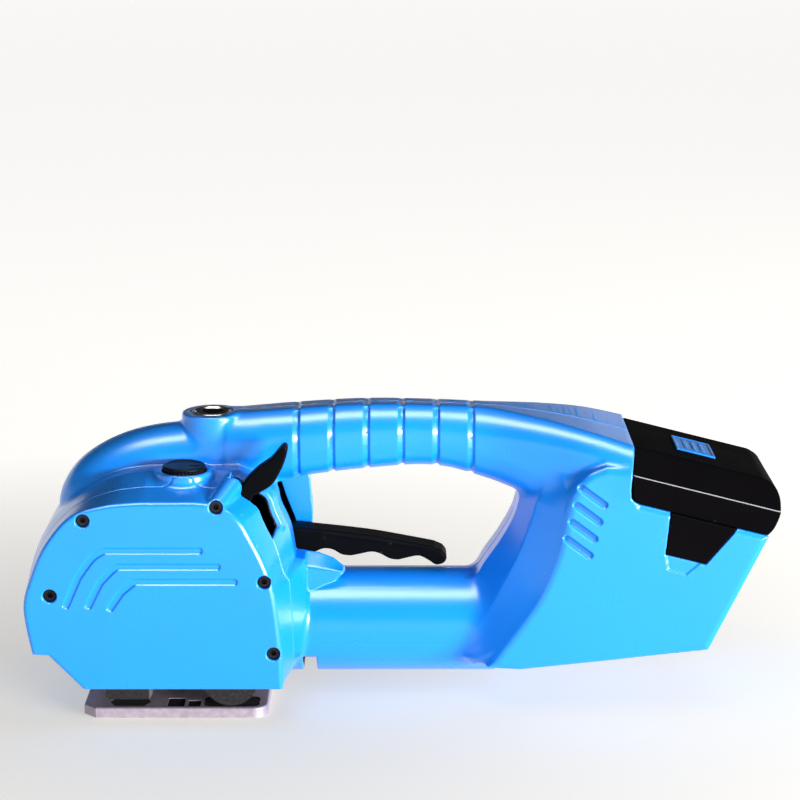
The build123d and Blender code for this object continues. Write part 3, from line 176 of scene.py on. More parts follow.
BATTERY_WAY = ([(-0.3, 30)]
               + curve([(-0.3, 0), (1.4, -12.0), (2.9, -19.2), (4.4, -22.2), (8.0, SEAM_N - 0.3)])
               + [(95, SEAM_N - 0.3), (95, 30)])
TAB_POCKET = [(22.9, SEAM_N + 5), (22.9, SEAM_N), (26.2, TAB_N - 0.3), (45.4, TAB_N - 0.3), (54.9, SEAM_N),
              (54.9, SEAM_N + 5)]


# ---------------------------------------------------------------- distance fields
class Shape:
    """A form given by its distance function, with the block of space that holds it."""

    def __init__(self, distance, low, high):
        self.distance = distance
        self.low, self.high = np.array(low, float), np.array(high, float)


def edge(a, b, radius):
    """Inside both a and b, with the edge between them rounded."""
    a, b = a + radius, b + radius
    outside = np.sqrt(np.maximum(a, 0) ** 2 + np.maximum(b, 0) ** 2)
    return outside + np.minimum(np.maximum(a, b), 0) - radius


def soft_min(a, b, soft):
    if not soft:
        return np.minimum(a, b)
    h = np.clip(0.5 + 0.5 * (b - a) / soft, 0, 1)
    return b + (a - b) * h - soft * h * (1 - h)


def flat_distance(outline, x, z):
    """Distance in XZ to a closed outline, negative inside."""
    best = np.full(np.broadcast(x, z).shape, 1e9, np.float32)
    inside = np.zeros(best.shape, bool)
    for (ax, az), (bx, bz) in zip(outline, outline[1:] + outline[:1]):
        ex, ez = bx - ax, bz - az
        t = np.clip(((x - ax) * ex + (z - az) * ez) / (ex * ex + ez * ez + 1e-9), 0, 1)
        best = np.minimum(best, (x - ax - t * ex) ** 2 + (z - az - t * ez) ** 2)
        if ez:
            inside ^= ((az > z) != (bz > z)) & (x < ex * (z - az) / ez + ax)
    return np.where(inside, -1, 1) * np.sqrt(best)


def line_distance(points, x, z):
    """Distance in XZ to an open line, and how far along it the nearest point is, from 0 to 1."""
    best = np.full(np.broadcast(x, z).shape, 1e9, np.float32)
    along = np.zeros(best.shape, np.float32)
    steps = len(points) - 1
    for i, ((ax, az), (bx, bz)) in enumerate(zip(points, points[1:])):
        ex, ez = bx - ax, bz - az
        t = np.clip(((x - ax) * ex + (z - az) * ez) / (ex * ex + ez * ez), 0, 1)
        d = (x - ax - t * ex) ** 2 + (z - az - t * ez) ** 2
        along = np.where(d < best, (i + t) / steps, along)
        best = np.minimum(best, d)
    return np.sqrt(best), along


def loft(sections, radius):
    """A form whose XZ outline changes evenly from one Y to the next. sections is [(y, outline)]."""
    places = [y for y, _ in sections]

    def distance(x, y, z):
        flats = [flat_distance(outline, x, z) for _, outline in sections]
        flat = flats[0]
        for y0, y1, a, b in zip(places, places[1:], flats, flats[1:]):
            flat = flat + (b - a) * np.clip((y - y0) / (y1 - y0), 0, 1)
        return edge(flat, np.maximum(places[0] - y, y - places[-1]), radius)

    corners = np.array([p for _, outline in sections for p in outline])
    low, high = corners.min(0), corners.max(0)
    return Shape(distance, (low[0], places[0], low[1]), (high[0], places[-1], high[1]))


def prism(outline, y0, y1, radius=0.0):
    """A plate with an outline in XZ."""
    return loft([(y0, outline), (y1, outline)], radius)


def bar(points, radii, y=0.0):
    """A round bar along a line in XZ at one Y, with radii spread evenly along it."""

    def distance(x, y_, z):
        flat, along = line_distance(points, x, z)
        radius = np.interp(along, np.linspace(0, 1, len(radii)), radii)
        return np.sqrt(flat**2 + (y_ - y) ** 2) - radius.astype(np.float32)

    most = max(radii)
    low, high = np.min(points, 0) - most, np.max(points, 0) + most
    return Shape(distance, (low[0], y - most, low[1]), (high[0], y + most, high[1]))


def channel(points, radius, y, depth):
    """A band of even width along a line in XZ, reaching depth to both sides of the plane at y."""

    def distance(x, y_, z):
        flat, _ = line_distance(points, x, z)
        return edge(flat - radius, np.abs(y_ - y) - depth, 0.2)

    low, high = np.min(points, 0) - radius, np.max(points, 0) + radius
    return Shape(distance, (low[0], y - depth, low[1]), (high[0], y + depth, high[1]))


def turned_part(axis, centre, radius, start, stop, rounding=0.0, radius_end=None):
    """A round part along X, Y or Z (axis 0, 1 or 2), conical if it has two radii."""
    end = radius if radius_end is None else radius_end

    def distance(*place):
        side = math.hypot(1.0, (end - radius) / (stop - start))
        a, b = [place[i] - centre[i] for i in range(3) if i != axis]
        t = np.clip((place[axis] - start) / (stop - start), 0, 1)
        round_off = (np.sqrt(a * a + b * b) - (radius + (end - radius) * t)) / side
        return edge(round_off, np.maximum(start - place[axis], place[axis] - stop), rounding)

    most = max(radius, end)
    low = [c - most for c in centre]
    high = [c + most for c in centre]
    low[axis], high[axis] = start, stop
    return Shape(distance, low, high)


def spindle(p, q, radius_p, radius_q):
    """A round-ended cone from p to q."""

    def distance(x, y, z):
        x, y, z = x - p[0], y - p[1], z - p[2]
        e = [b - a for a, b in zip(p, q)]
        t = np.clip((x * e[0] + y * e[1] + z * e[2]) / sum(v * v for v in e), 0, 1)
        gap = np.sqrt((x - t * e[0]) ** 2 + (y - t * e[1]) ** 2 + (z - t * e[2]) ** 2)
        return gap - (radius_p + (radius_q - radius_p) * t)

    most = max(radius_p, radius_q)
    return Shape(distance, np.minimum(p, q) - most, np.maximum(p, q) + most)


def block(low, high, rounding=0.0):
    """A box square to the axes."""

    def distance(x, y, z):
        q = [np.abs(v - (a + b) / 2) - (b - a) / 2 for v, a, b in zip((x, y, z), low, high)]
        return edge(edge(q[0], q[1], rounding), q[2], rounding)

    return Shape(distance, low, high)


def half_space(axis, at, sign):
    """Everything on one side of a plane square to an axis: below it for sign 1, above it for -1."""

    def distance(*place):
        return sign * (place[axis] - at)

    return Shape(distance, (-FAR_OFF,) * 3, (FAR_OFF,) * 3)


HALF_STEP = 0.5


class Field:
    """Distances to a surface on a grid, negative inside it."""

    def __init__(self, low, high, pitch):
        self.low, self.pitch = np.array(low, float), pitch
        counts = [math.ceil((b - a) / pitch) + 1 for a, b in zip(low, high)]
        self.value = np.full(counts, FAR_OFF, np.float32)

    def window(self, low, high):
        """The part of the grid between two corners, and the coordinates of its points."""
        cut, axes = [], []
        for i in range(3):
            count = self.value.shape[i]
            first = min(count - 1, max(0, math.floor((low[i] - self.low[i]) / self.pitch)))
            last = max(first + 1, min(count, math.ceil((high[i] - self.low[i]) / self.pitch) + 1))
            shape = [1, 1, 1]
            shape[i] = -1
            line = self.low[i] + self.pitch * np.arange(first, last)
            axes.append(line.astype(np.float32).reshape(shape))
            cut.append(slice(first, last))
        return tuple(cut), axes

    def near(self, shape, soft):
        """The part of the grid that shape can change, and shape's distances there."""
        grow = 2 * soft + 3 * self.pitch
        cut, axes = self.window(shape.low - grow, shape.high + grow)
        return cut, shape.distance(*axes)

    def add(self, shape, soft=0.0):
        cut, distance = self.near(shape, soft)
        self.value[cut] = soft_min(self.value[cut], distance, soft)

    def take(self, shape, soft=0.0):
        cut, distance = self.near(shape, soft)
        self.value[cut] = -soft_min(-self.value[cut], distance, soft)

    def keep(self, shape):
        """Cuts away what lies outside shape."""
        cut, axes = self.window((-FAR_OFF,) * 3, (FAR_OFF,) * 3)
        self.value[cut] = np.maximum(self.value[cut], shape.distance(*axes))

    def press(self, shape, depth, soft):
        """Sinks the surface by depth inside shape, or raises it if depth is negative."""
        cut, distance = self.near(shape, soft)
        t = np.clip(0.5 - distance / soft, 0, 1)
        self.value[cut] += depth * t * t * (3 - 2 * t)

    def slope(self, points):
        """Unit vectors out of the surface at points in millimetres."""
        place = (points - self.low) / self.pitch
        out = np.zeros_like(points)
        for i in range(3):
            shift = np.zeros(3)
            shift[i] = HALF_STEP
            out[:, i] = self.sample(place + shift) - self.sample(place - shift)
        return out / np.maximum(np.linalg.norm(out, axis=1), 1e-9)[:, None]

    def sample(self, place):
        """The distances at places given in steps of the grid."""
        base = np.clip(np.floor(place).astype(int), 0, np.array(self.value.shape) - 2)
        t = place - base
        total = 0
        for dx in (0, 1):
            for dy in (0, 1):
                for dz in (0, 1):
                    weight = abs(1 - dx - t[:, 0]) * abs(1 - dy - t[:, 1]) * abs(1 - dz - t[:, 2])
                    corner = self.value[base[:, 0] + dx, base[:, 1] + dy, base[:, 2] + dz]
                    total = total + weight * corner
        return total


# ---------------------------------------------------------------- meshes
def largest_piece(count, faces):
    """Which faces belong to the largest connected piece."""
    label = np.arange(count)
    pairs = np.concatenate([faces[:, [0, 1]], faces[:, [1, 2]], faces[:, [2, 3]]])
    while True:
        least = np.minimum(label[pairs[:, 0]], label[pairs[:, 1]])
        new = label.copy()
        np.minimum.at(new, label[pairs[:, 0]], least)
        np.minimum.at(new, label[pairs[:, 1]], least)
        new = new[new]
        if (new == label).all():
            break
        label = new
    names, sizes = np.unique(label[faces[:, 0]], return_counts=True)
    return label[faces[:, 0]] == names[sizes.argmax()]


def mesh_from(name, points, faces):
    """A mesh of quads (and of triangles, whose last corner repeats)."""
    mesh = bpy.data.meshes.new(name)
    mesh.from_pydata(points * MM, [], [f if f[2] != f[3] else f[:3] for f in faces.tolist()])
    return mesh


def thinned(obj, ratio):
    """obj with its mesh decimated."""
    if ratio < 1:
        obj.modifiers.new("thin", "DECIMATE").ratio = ratio
        evaluated = obj.evaluated_get(bpy.context.evaluated_depsgraph_get())
        mesh = bpy.data.meshes.new_from_object(evaluated)
        obj.modifiers.clear()
        obj.data = mesh
    return obj


def piece(name, field, body, slot, *nodes, material=None, skin=None):
    """The field's surface as an object that rides on a body and stands for CAD nodes. With skin, the field
    of the filled outer shape, the mesh also keeps how deep each point lies under that shape, for the
    painted shade of the inside."""
    reach = 3 * field.pitch
    grid = openvdb.FloatGrid(reach)
    grid.copyFromArray(np.clip(np.pad(field.value, 1, constant_values=FAR_OFF), -reach, reach))
    points, faces = grid.convertToQuads(0.0)
    faces = faces.astype(int)
    faces = faces[largest_piece(len(points), faces)]
    used = np.unique(faces)
    renumber = np.zeros(len(points), int)
    renumber[used] = np.arange(len(used))
    points = (points[used].astype(float) - 1) * field.pitch + field.low
    mesh = mesh_from(name, points, renumber[faces])
    obj = bpy.data.objects.new(name, mesh)
    bpy.context.collection.objects.link(obj)
    thinned(obj, MOST_TRIANGLES / (2 * len(faces)))
    obj.name = name
    mesh = obj.data
    mesh.name = name
    place = np.empty(3 * len(mesh.vertices))
    mesh.vertices.foreach_get("co", place)
    normals = field.slope(place.reshape(-1, 3) / MM)
    face_normal = np.array(mesh.polygons[0].normal)
    corner = mesh.polygons[0].vertices[0]
    if face_normal @ normals[corner] < 0:
        mesh.flip_normals()
    mesh.polygons.foreach_set("use_smooth", np.ones(len(mesh.polygons), bool))
    mesh.normals_split_custom_set_from_vertices(normals)
    if skin is not None:
        depth = -skin.sample((place.reshape(-1, 3) / MM - skin.low) / skin.pitch)
        mesh.attributes.new("depth", "FLOAT", "POINT").data.foreach_set("value", depth.astype(np.float32))
    mesh.materials.append(MATERIALS[material or slot])
    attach(obj, body)
    if nodes:
        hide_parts(*nodes)
    return obj


# ---------------------------------------------------------------- materials
def node_material(name):
    material = bpy.data.materials.new(name)
    material.use_nodes = True
    nodes, links = material.node_tree.nodes, material.node_tree.links
    return material, nodes, links, nodes["Principled BSDF"]


def linear(red, green, blue):
    """A display colour, 0 to 255, as the shader's own numbers."""
    def one(v):
        v /= 255
        return v / 12.92 if v <= 0.04045 else ((v + 0.055) / 1.055) ** 2.4
    return (one(red), one(green), one(blue), 1.0)


def computed(nodes, links, operation, *values):
    """The output of a Math node whose inputs are other nodes' outputs or plain numbers."""
    node = nodes.new("ShaderNodeMath")
    node.operation = operation
    for socket, value in zip(node.inputs, values):
        if isinstance(value, (int, float)):
            socket.default_value = value
        else:
            links.new(value, socket)
    return node.outputs["Value"]


def spread(nodes, links, value, span, result=(0.0, 1.0)):
    """value, which goes through span, brought to the range result."""
    node = nodes.new("ShaderNodeMapRange")
    node.inputs["From Min"].default_value, node.inputs["From Max"].default_value = span
    node.inputs["To Min"].default_value, node.inputs["To Max"].default_value = result
    links.new(value, node.inputs["Value"])
    return node.outputs["Result"]


def mixed(nodes, links, amount, colour, tone):
    """colour, an output or a display colour, turning to the display colour tone with amount."""
    node = nodes.new("ShaderNodeMix")
    node.data_type = "RGBA"
    node.inputs["B"].default_value = linear(*tone)
    if isinstance(colour, tuple):
        node.inputs["A"].default_value = linear(*colour)
    else:
        links.new(colour, node.inputs["A"])
    links.new(amount, node.inputs["Factor"])
    return node.outputs["Result"]


def noise(nodes, links, place, scale, detail):
    node = nodes.new("ShaderNodeTexNoise")
    node.inputs["Scale"].default_value = scale
    node.inputs["Detail"].default_value = detail
    links.new(place, node.inputs["Vector"])
    return node.outputs["Fac"]


def battery_highlight_mask(nodes, links):
    """1 on a thin line along the battery's sides, at the foot of its bevel, where a highlight is painted,
    and 0 elsewhere.
    """
    place = nodes.new("ShaderNodeTexCoord").outputs["Object"]
    shifted = nodes.new("ShaderNodeVectorMath")
    shifted.operation = "SUBTRACT"
    shifted.inputs[1].default_value = (BATTERY_ORIGIN[0] * MM, 0, BATTERY_ORIGIN[1] * MM)
    links.new(place, shifted.inputs[0])
    outward = nodes.new("ShaderNodeVectorMath")
    outward.operation = "DOT_PRODUCT"
    outward.inputs[1].default_value = (math.sin(TILT), 0, math.cos(TILT))
    links.new(shifted.outputs["Vector"], outward.inputs[0])
    from_line = computed(nodes, links, "ADD", outward.outputs["Value"], (LINE_N + HIGHLIGHT_DROP) * -MM)
    size = computed(nodes, links, "ABSOLUTE", from_line)
    on_highlight = computed(nodes, links, "LESS_THAN", size, HIGHLIGHT_HALF * MM)
    split = nodes.new("ShaderNodeSeparateXYZ")
    links.new(place, split.inputs["Vector"])
    side = computed(nodes, links, "ABSOLUTE", split.outputs["Y"])
    on_side = computed(nodes, links, "GREATER_THAN", side, (CAP_HALF - 1.6) * MM)
    return computed(nodes, links, "MULTIPLY", on_highlight, on_side)


PROUD_EDGE = (0.515, 0.60)  # pointiness of an edge where the lighter edge tone (wear, and on the blue shell a painted highlight) begins and where it is full
INNER_SHADE_DEPTHS = (1.0, 1.6)  # depth in millimetres at which the painted shade of the inside begins and is full
NOISE_SPAN = (0.3, 0.7)
COAT_ROUGHNESS = 0.2


def finish(name, colour, other, rough=(0.35, 0.5), metallic=0.0, grain=900.0, stretch=(1, 1, 1), bump=0.02,
           mottle=40.0, wear_and_sheen=None, wear_and_sheen_amount=0.0, coat=0.0, specular=0.5, inside=None, line=None):
    """A moulded or metal surface: two tones in a broad mottle, a fine grain in bump and roughness, and a
    lighter tone where edges stand proud, which is wear on most finishes and a painted highlight on the blue
    shell. inside is the tone of a painted shade on surfaces more than a millimetre under the outer shape,
    and line that of a painted highlight along the foot of the battery's bevel."""
    material, nodes, links, shader = node_material(name)
    place = nodes.new("ShaderNodeMapping")
    place.inputs["Scale"].default_value = stretch
    links.new(nodes.new("ShaderNodeTexCoord").outputs["Object"], place.inputs["Vector"])
    broad = noise(nodes, links, place.outputs["Vector"], mottle, 4.0)
    fine = noise(nodes, links, place.outputs["Vector"], grain, 3.0)
    colour_out = mixed(nodes, links, broad, colour, other)
    # lighter tone on proud edges: wear, and a painted highlight on the blue shell's edges
    if wear_and_sheen:
        pointiness = nodes.new("ShaderNodeNewGeometry").outputs["Pointiness"]
        proud_wear_and_sheen = spread(nodes, links, pointiness, PROUD_EDGE, (0.0, wear_and_sheen_amount))
        patchy_wear_and_sheen = computed(nodes, links, "MULTIPLY", proud_wear_and_sheen, broad)
        colour_out = mixed(nodes, links, patchy_wear_and_sheen, colour_out, wear_and_sheen)
    # painted shade: surfaces under the outer shape darken to the inside tone
    if inside:
        depth = nodes.new("ShaderNodeAttribute")
        depth.attribute_name = "depth"
        painted_inner_shade = spread(nodes, links, depth.outputs["Fac"], INNER_SHADE_DEPTHS)
        colour_out = mixed(nodes, links, painted_inner_shade, colour_out, inside)
    # painted highlight: a thin pale line along the foot of the battery's bevel
    if line:
        colour_out = mixed(nodes, links, battery_highlight_mask(nodes, links), colour_out, line)
    links.new(colour_out, shader.inputs["Base Color"])
    half_broad = computed(nodes, links, "MULTIPLY", broad, 0.5)
    both = computed(nodes, links, "MULTIPLY_ADD", fine, 0.5, half_broad)
    links.new(spread(nodes, links, both, NOISE_SPAN, rough), shader.inputs["Roughness"])
    relief = nodes.new("ShaderNodeBump")
    relief.inputs["Strength"].default_value = 1.0
    relief.inputs["Distance"].default_value = bump * MM
    links.new(fine, relief.inputs["Height"])
    links.new(relief.outputs["Normal"], shader.inputs["Normal"])
    shader.inputs["Metallic"].default_value = metallic
    shader.inputs["Coat Weight"].default_value = coat
    shader.inputs["Coat Roughness"].default_value = COAT_ROUGHNESS
    shader.inputs["Specular IOR Level"].default_value = specular
    return material


# BLUE_EDGE_SHEEN is the painted highlight tone on the blue shell's proud edges
BLUE, BLUE_DEEP, BLUE_EDGE_SHEEN = (6, 143, 250), (3, 135, 245), (120, 200, 255)
FINISHES = {
    # blue_abs: inside is a painted near-black shade on the shell's inner surfaces
    "blue_abs": dict(colour=BLUE, other=BLUE_DEEP, rough=(0.25, 0.36), grain=1500, bump=0.03,
                     wear_and_sheen=BLUE_EDGE_SHEEN, wear_and_sheen_amount=0.7, specular=0.45, coat=0.5, inside=(4, 10, 22)),
    "black_nylon": dict(colour=(7, 6, 8), other=(11, 10, 12), rough=(0.3, 0.45), grain=1800, bump=0.03,
                        wear_and_sheen=(60, 60, 66), wear_and_sheen_amount=0.4, specular=0.003),
    # battery_black: line is a painted highlight along the foot of the bevel
    "battery_black": dict(colour=(7, 6, 8), other=(11, 10, 12), rough=(0.35, 0.5), grain=1800,
                          bump=0.03, wear_and_sheen=(60, 60, 66), wear_and_sheen_amount=0.35, specular=0.001,
                          line=(150, 150, 158)),
    "wheel_teeth": dict(colour=(8, 8, 9), other=(34, 32, 34), rough=(0.5, 0.75), grain=500, mottle=900,
                        bump=0.1, wear_and_sheen=(90, 88, 88), wear_and_sheen_amount=0.3, specular=0.05),
    "black_grip": dict(colour=(5, 6, 9), other=(10, 11, 14), rough=(0.38, 0.55), grain=1600, bump=0.05,
                       wear_and_sheen=(62, 64, 72), wear_and_sheen_amount=0.6, specular=0.02),
    "badge_blue": dict(colour=(16, 96, 200), other=(40, 150, 235), rough=(0.25, 0.4), grain=500,
                       mottle=180, bump=0.04, specular=0.15),
    "dial_black": dict(colour=(5, 7, 12), other=(10, 12, 20), rough=(0.3, 0.45), grain=1500, bump=0.03,
                       wear_and_sheen=(50, 56, 70), wear_and_sheen_amount=0.5, specular=0.08),
    "cast_aluminium": dict(colour=(150, 148, 152), other=(186, 184, 188), rough=(0.4, 0.6),
                           metallic=1.0, grain=700, bump=0.12),
    "foot_steel": dict(colour=(150, 136, 152), other=(186, 174, 188), rough=(0.42, 0.6), metallic=0.6,
                       grain=260, mottle=420, bump=0.06, wear_and_sheen=(206, 198, 206), wear_and_sheen_amount=0.4),
    "dark_steel": dict(colour=(44, 40, 44), other=(92, 86, 90), rough=(0.3, 0.55), metallic=0.9,
                       grain=600, mottle=160, bump=0.06, wear_and_sheen=(170, 164, 168), wear_and_sheen_amount=0.9),
    "gear_steel": dict(colour=(110, 108, 112), other=(150, 148, 152), rough=(0.28, 0.42), metallic=1.0,
                       grain=900, bump=0.02, wear_and_sheen=(210, 208, 212), wear_and_sheen_amount=0.8),
    "shaft_steel": dict(colour=(170, 170, 176), other=(196, 196, 202), rough=(0.16, 0.3), metallic=1.0,
                        grain=500, stretch=(1, 12, 1), bump=0.01),
    "spring_steel": dict(colour=(120, 122, 130), other=(160, 162, 170), rough=(0.2, 0.32), metallic=1.0,
                         grain=800, bump=0.02),
    "bearing_steel": dict(colour=(180, 182, 188), other=(206, 208, 212), rough=(0.12, 0.24),
                          metallic=1.0, grain=700, bump=0.01),
    "screw_black": dict(colour=(16, 16, 20), other=(34, 34, 40), rough=(0.28, 0.42), metallic=0.7,
                        grain=900, bump=0.02, wear_and_sheen=(70, 72, 80), wear_and_sheen_amount=0.6, specular=0.1),
    "motor_steel": dict(colour=(120, 122, 126), other=(146, 148, 152), rough=(0.3, 0.42), metallic=1.0,
                        grain=600, stretch=(10, 1, 1), bump=0.02),
    "rotor_steel": dict(colour=(92, 90, 92), other=(130, 124, 120), rough=(0.3, 0.5), metallic=1.0,
                        grain=500, bump=0.04),
    "belt_rubber": dict(colour=(22, 22, 24), other=(34, 34, 36), rough=(0.6, 0.8), grain=1200,
                        bump=0.08),
    "chrome_trim": dict(colour=(120, 118, 120), other=(170, 168, 170), rough=(0.16, 0.26), metallic=1.0,
                        grain=900, bump=0.005),
    "switch_black": dict(colour=(10, 10, 12), other=(18, 18, 20), rough=(0.4, 0.5), grain=1400,
                         bump=0.03, specular=0.08),
    "board_green": dict(colour=(10, 84, 44), other=(18, 110, 58), rough=(0.25, 0.4), grain=300,
                        mottle=220, bump=0.05),
    "cell_wrap": dict(colour=(30, 90, 160), other=(40, 104, 176), rough=(0.2, 0.3), grain=500,
                      bump=0.02),
    "lead_red": dict(colour=(160, 22, 20), other=(184, 34, 30), rough=(0.35, 0.5), grain=900,
                     bump=0.03),
}
MATERIALS = {name: finish(name, **look) for name, look in FINISHES.items()}
STRAP_CONTACTS = ["tension_wheel", "weld_ram", "upper_jaw", "lower_jaw", "anvil"]


def dress_nodes():
    """Gives every CAD node the finish its material slots name, and what grips the strap its dark one."""
    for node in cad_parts.values():
        for entry in node.material_slots:
            plain = entry.material.name.split(".")[0] if entry.material else ""
            if plain in MATERIALS:
                entry.material = MATERIALS[plain]
    for name in STRAP_CONTACTS:
        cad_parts[name].material_slots[0].material = MATERIALS["wheel_teeth"]


# ---------------------------------------------------------------- housing
def smooth_values(x, table, column):
    """A smooth line through one column of a table whose first column is x."""
    places = [row[0] for row in table]
    rows = curve([(row[0], row[column]) for row in table], 10)
    return np.interp(x, [p[0] for p in rows], [p[1] for p in rows]).astype(np.float32)


# Handle sections from head to battery: x, z of the middle, half height, half width, corner radius.
HANDLE = [
    (24.0, 118.0, 18.0, 15.0, 14.8),
    (40.0, 119.8, 17.6, 16.0, 15.8),
    (57.0, 121.8, 17.0, 16.5, 16.4),
    (88.0, 124.6, 16.0, 15.6, 15.5),
    (120.0, 125.2, 14.9, 15.2, 14.8),
    (145.0, 121.5, 17.4, 17.2, 16.6),
    (170.0, 116.5, 19.4, 25.5, 15.0),
    (192.0, 114.5, 17.2, 34.0, 13.6),
    (214.0, 112.0, 13.8, 39.6, 13.4),
]
FACET_DEPTH = 1.5  # how far the flat strip along the handle's top lies under the round section


def handle():
    """The bowed handle: round, with a flat strip on top and shallow rings round the rest, flaring out to
    the battery's width."""

    def distance(x, y, z):
        middle, half_z, half_y, corner = [smooth_values(x, HANDLE, i) for i in (1, 2, 3, 4)]
        across = np.abs(y) - (half_y - corner)
        up = z - middle
        lower = np.abs(up) - (half_z - corner)
        raised = np.abs(up) - (half_z + FACET_DEPTH - corner)
        rise = np.where(up > 0, raised, lower)
        body = np.sqrt(np.maximum(across, 0) ** 2 + np.maximum(rise, 0) ** 2)
        body = body + np.minimum(np.maximum(across, rise), 0) - corner
        ring = sum(np.interp(x - place, [-2.1, 0.4, 1.5], [0, 1, 0]) for place in RINGS).astype(np.float32)
        below_strip = np.clip((middle + half_z - 0.6 - z) / 1.5, 0, 1)
        strip = up - half_z + 0.7 * ring
        body = edge(body + 1.1 * ring * below_strip, strip, 0.5)
        return edge(body, np.maximum(HANDLE[0][0] - x, x - HANDLE[-1][0]), 1.0)

    return Shape(distance, (HANDLE[0][0], -40, 95), (HANDLE[-1][0], 40, 143))


def housing_field(low, high, pitch):
    """The outer surface of the whole shell, filled, between two corners."""
    field = Field(low, high, pitch)
    sections = [(HEAD_NEAR, FACE), (-24.0, CORE_NEAR), (-9.0, CORE_NEAR),
                (9.0, CORE_FAR), (18.0, CORE_FAR), (HEAD_FAR, FACE)]
    field.add(loft(sections, 1.8))
    field.add(turned_part(0, (0, 0, TUBE_Z), TUBE_R, 40.0, 150.0), 3.0)
    field.add(bar(DOME, [16.0, 15.2]), 1.5)
    field.add(handle(), 5.0)
    rear = Field(low, high, pitch)
    flanks = [(-38.4, REAR), (-26.0, MIDDLE), (-11.0, FLANK), (11.0, FLANK), (26.0, MIDDLE), (38.4, REAR)]
    rear.add(loft(flanks, 1.0))
    rear.add(prism(REAR, -REAR_HALF, REAR_HALF, 3.4), 2.0)
    field.value = soft_min(field.value, rear.value, 5.0)
    # button boss, dial collar and the nose beside the hand lever
    field.add(turned_part(2, BUTTON, 15.2, 108.0, BUTTON[2] + 0.6, 1.0, 14.2), 2.5)
    field.add(turned_part(2, DIAL, 14.5, 100.0, DIAL[2] - 0.4, 1.0, 12.6), 2.5)
    field.add(loft([(-17.4, NOSE_SIDE), (-9.3, NOSE_RIDGE)], 1.0), 0.8)
    # fairings of the covers' upper rear screws, from the screw up to the head's top
    for face_y, top_y in [(HEAD_NEAR + 5.0, -34.0), (HEAD_FAR - 5.0, 28.0)]:
        field.add(spindle((21.6, face_y, 102.6), (28.5, top_y, 109.5), 4.9, 5.6), 1.5)
    return field


def cavity_openings(field):
    """Openings through the shell: belly, lever slots, bores, battery bay."""
    field.take(prism(UNDERSIDE, HEAD_NEAR + WALL, HEAD_FAR - WALL))
    field.take(loft([(COVER_NEAR, THUMB_SLOTS[0]), (-28.8, THUMB_SLOTS[1])], 0.3))
    field.take(block((38.0, -9.0, 66.5), (70.0, 9.0, 103.6), 0.5))
    field.take(turned_part(2, BUTTON, 9.8, 118.0, 140.0))
    field.take(turned_part(2, DIAL, 10.3, 104.0, 120.0))
    field.take(prism(battery_line(BATTERY_WAY), -60, 60))
    for y0, y1 in [(-41.5, -35.9), (35.9, 41.5)]:
        field.take(prism(battery_line(TAB_POCKET), y0, y1))


def surface_details(field):
    """Grooves, recesses and raised frames of the outer surface."""
    for line in FACE_GROOVES:
        bent = line[:1] + curve(line[1:4], 4) + line[4:]
        field.press(channel(bent, 1.4, HEAD_NEAR, 2.5), 0.9, 0.8)
    for row in range(LOUVRES):
        x, z = LOUVRE_TOP[0] - 2.05 * row, LOUVRE_TOP[1] - 8.0 * row
        for y in (-REAR_HALF, REAR_HALF):
            field.press(channel([(x - 5.2, z + 3.9), (x + 5.2, z - 3.9)], 1.5, y, 2.5), 1.3, 0.7)
    for y in (-REAR_HALF, REAR_HALF):
        field.press(prism(LATCH_WINDOW, y - 2.0, y + 2.0), 0.7, 0.6)
    # the slot frame beside the weld lever
    field.press(bar(SLOT_FRAME, [2.0, 2.0], -27.2), -0.9, 1.2)
    field.press(prism(TUBE_PARTING, -30, 30), 0.25, 0.9)
    # notch at the tube's foot next to the head
    field.take(block((58.5, -30, 5), (65.0, 30, 21.5), 0.8), 0.8)
    # screw recesses
    for x, z in NEAR_SCREWS:
        field.take(turned_part(1, (x, 0, z), SCREW_HOLE_R, HEAD_NEAR - 1, -46.9))
        field.take(turned_part(1, (x, 0, z), 4.6, HEAD_NEAR - 2.0, HEAD_NEAR + 0.9, 0, 3.0), 0.2)
    for x, z in FAR_SCREWS:
        field.take(turned_part(1, (x, 0, z), SCREW_HOLE_R, 40.9, HEAD_FAR + 1))


def screw_posts(field):
    """Solid posts round the screws, inside the shell, and the two cheeks beside the hand lever's slot."""
    for screws, y0, y1 in [
            (NEAR_SCREWS, HEAD_NEAR + 1.5, -26.0),
            (FAR_SCREWS, 22.0, HEAD_FAR - 1.5),
            (SHELL_SCREWS, -20.0, 20.0)]:
        for x, z in screws:
            field.add(turned_part(1, (x, 0, z), POST_R, y0, y1))
    for y0, y1 in [(-11.5, -9.0), (9.0, 11.5)]:
        field.add(prism(CHEEK, y0, y1))


def shell_field(low, high, pitch):
    """The hollow shell between two corners, with its posts and everything let into its outer surface, and
    the filled shape that tells its outer faces from its inner ones."""
    outer = housing_field(low, high, pitch)
    filled = Field(low, high, pitch)
    filled.value = outer.value.copy()
    filled.take(prism(CHEEK, 8.0, 12.0))  # the far cheek counts as an outer face and gets no painted shade
    inner = outer.value + WALL
    solid = Field(low, high, pitch)
    solid.value = np.maximum(outer.value, -inner)
    screw_posts(solid)
    posts_inside = np.maximum(solid.value, outer.value + 0.3)
    surface_details(outer)
    outer.value = np.maximum(outer.value, np.where(inner < 0, posts_inside, -FAR_OFF))
    cavity_openings(outer)
    return outer, filled


def outside(low, high):
    """Everything outside a block, a seam's width away from it."""
    inside = block(low, high)
    return Shape(lambda *place: 2 * SEAM - inside.distance(*place), low, high)


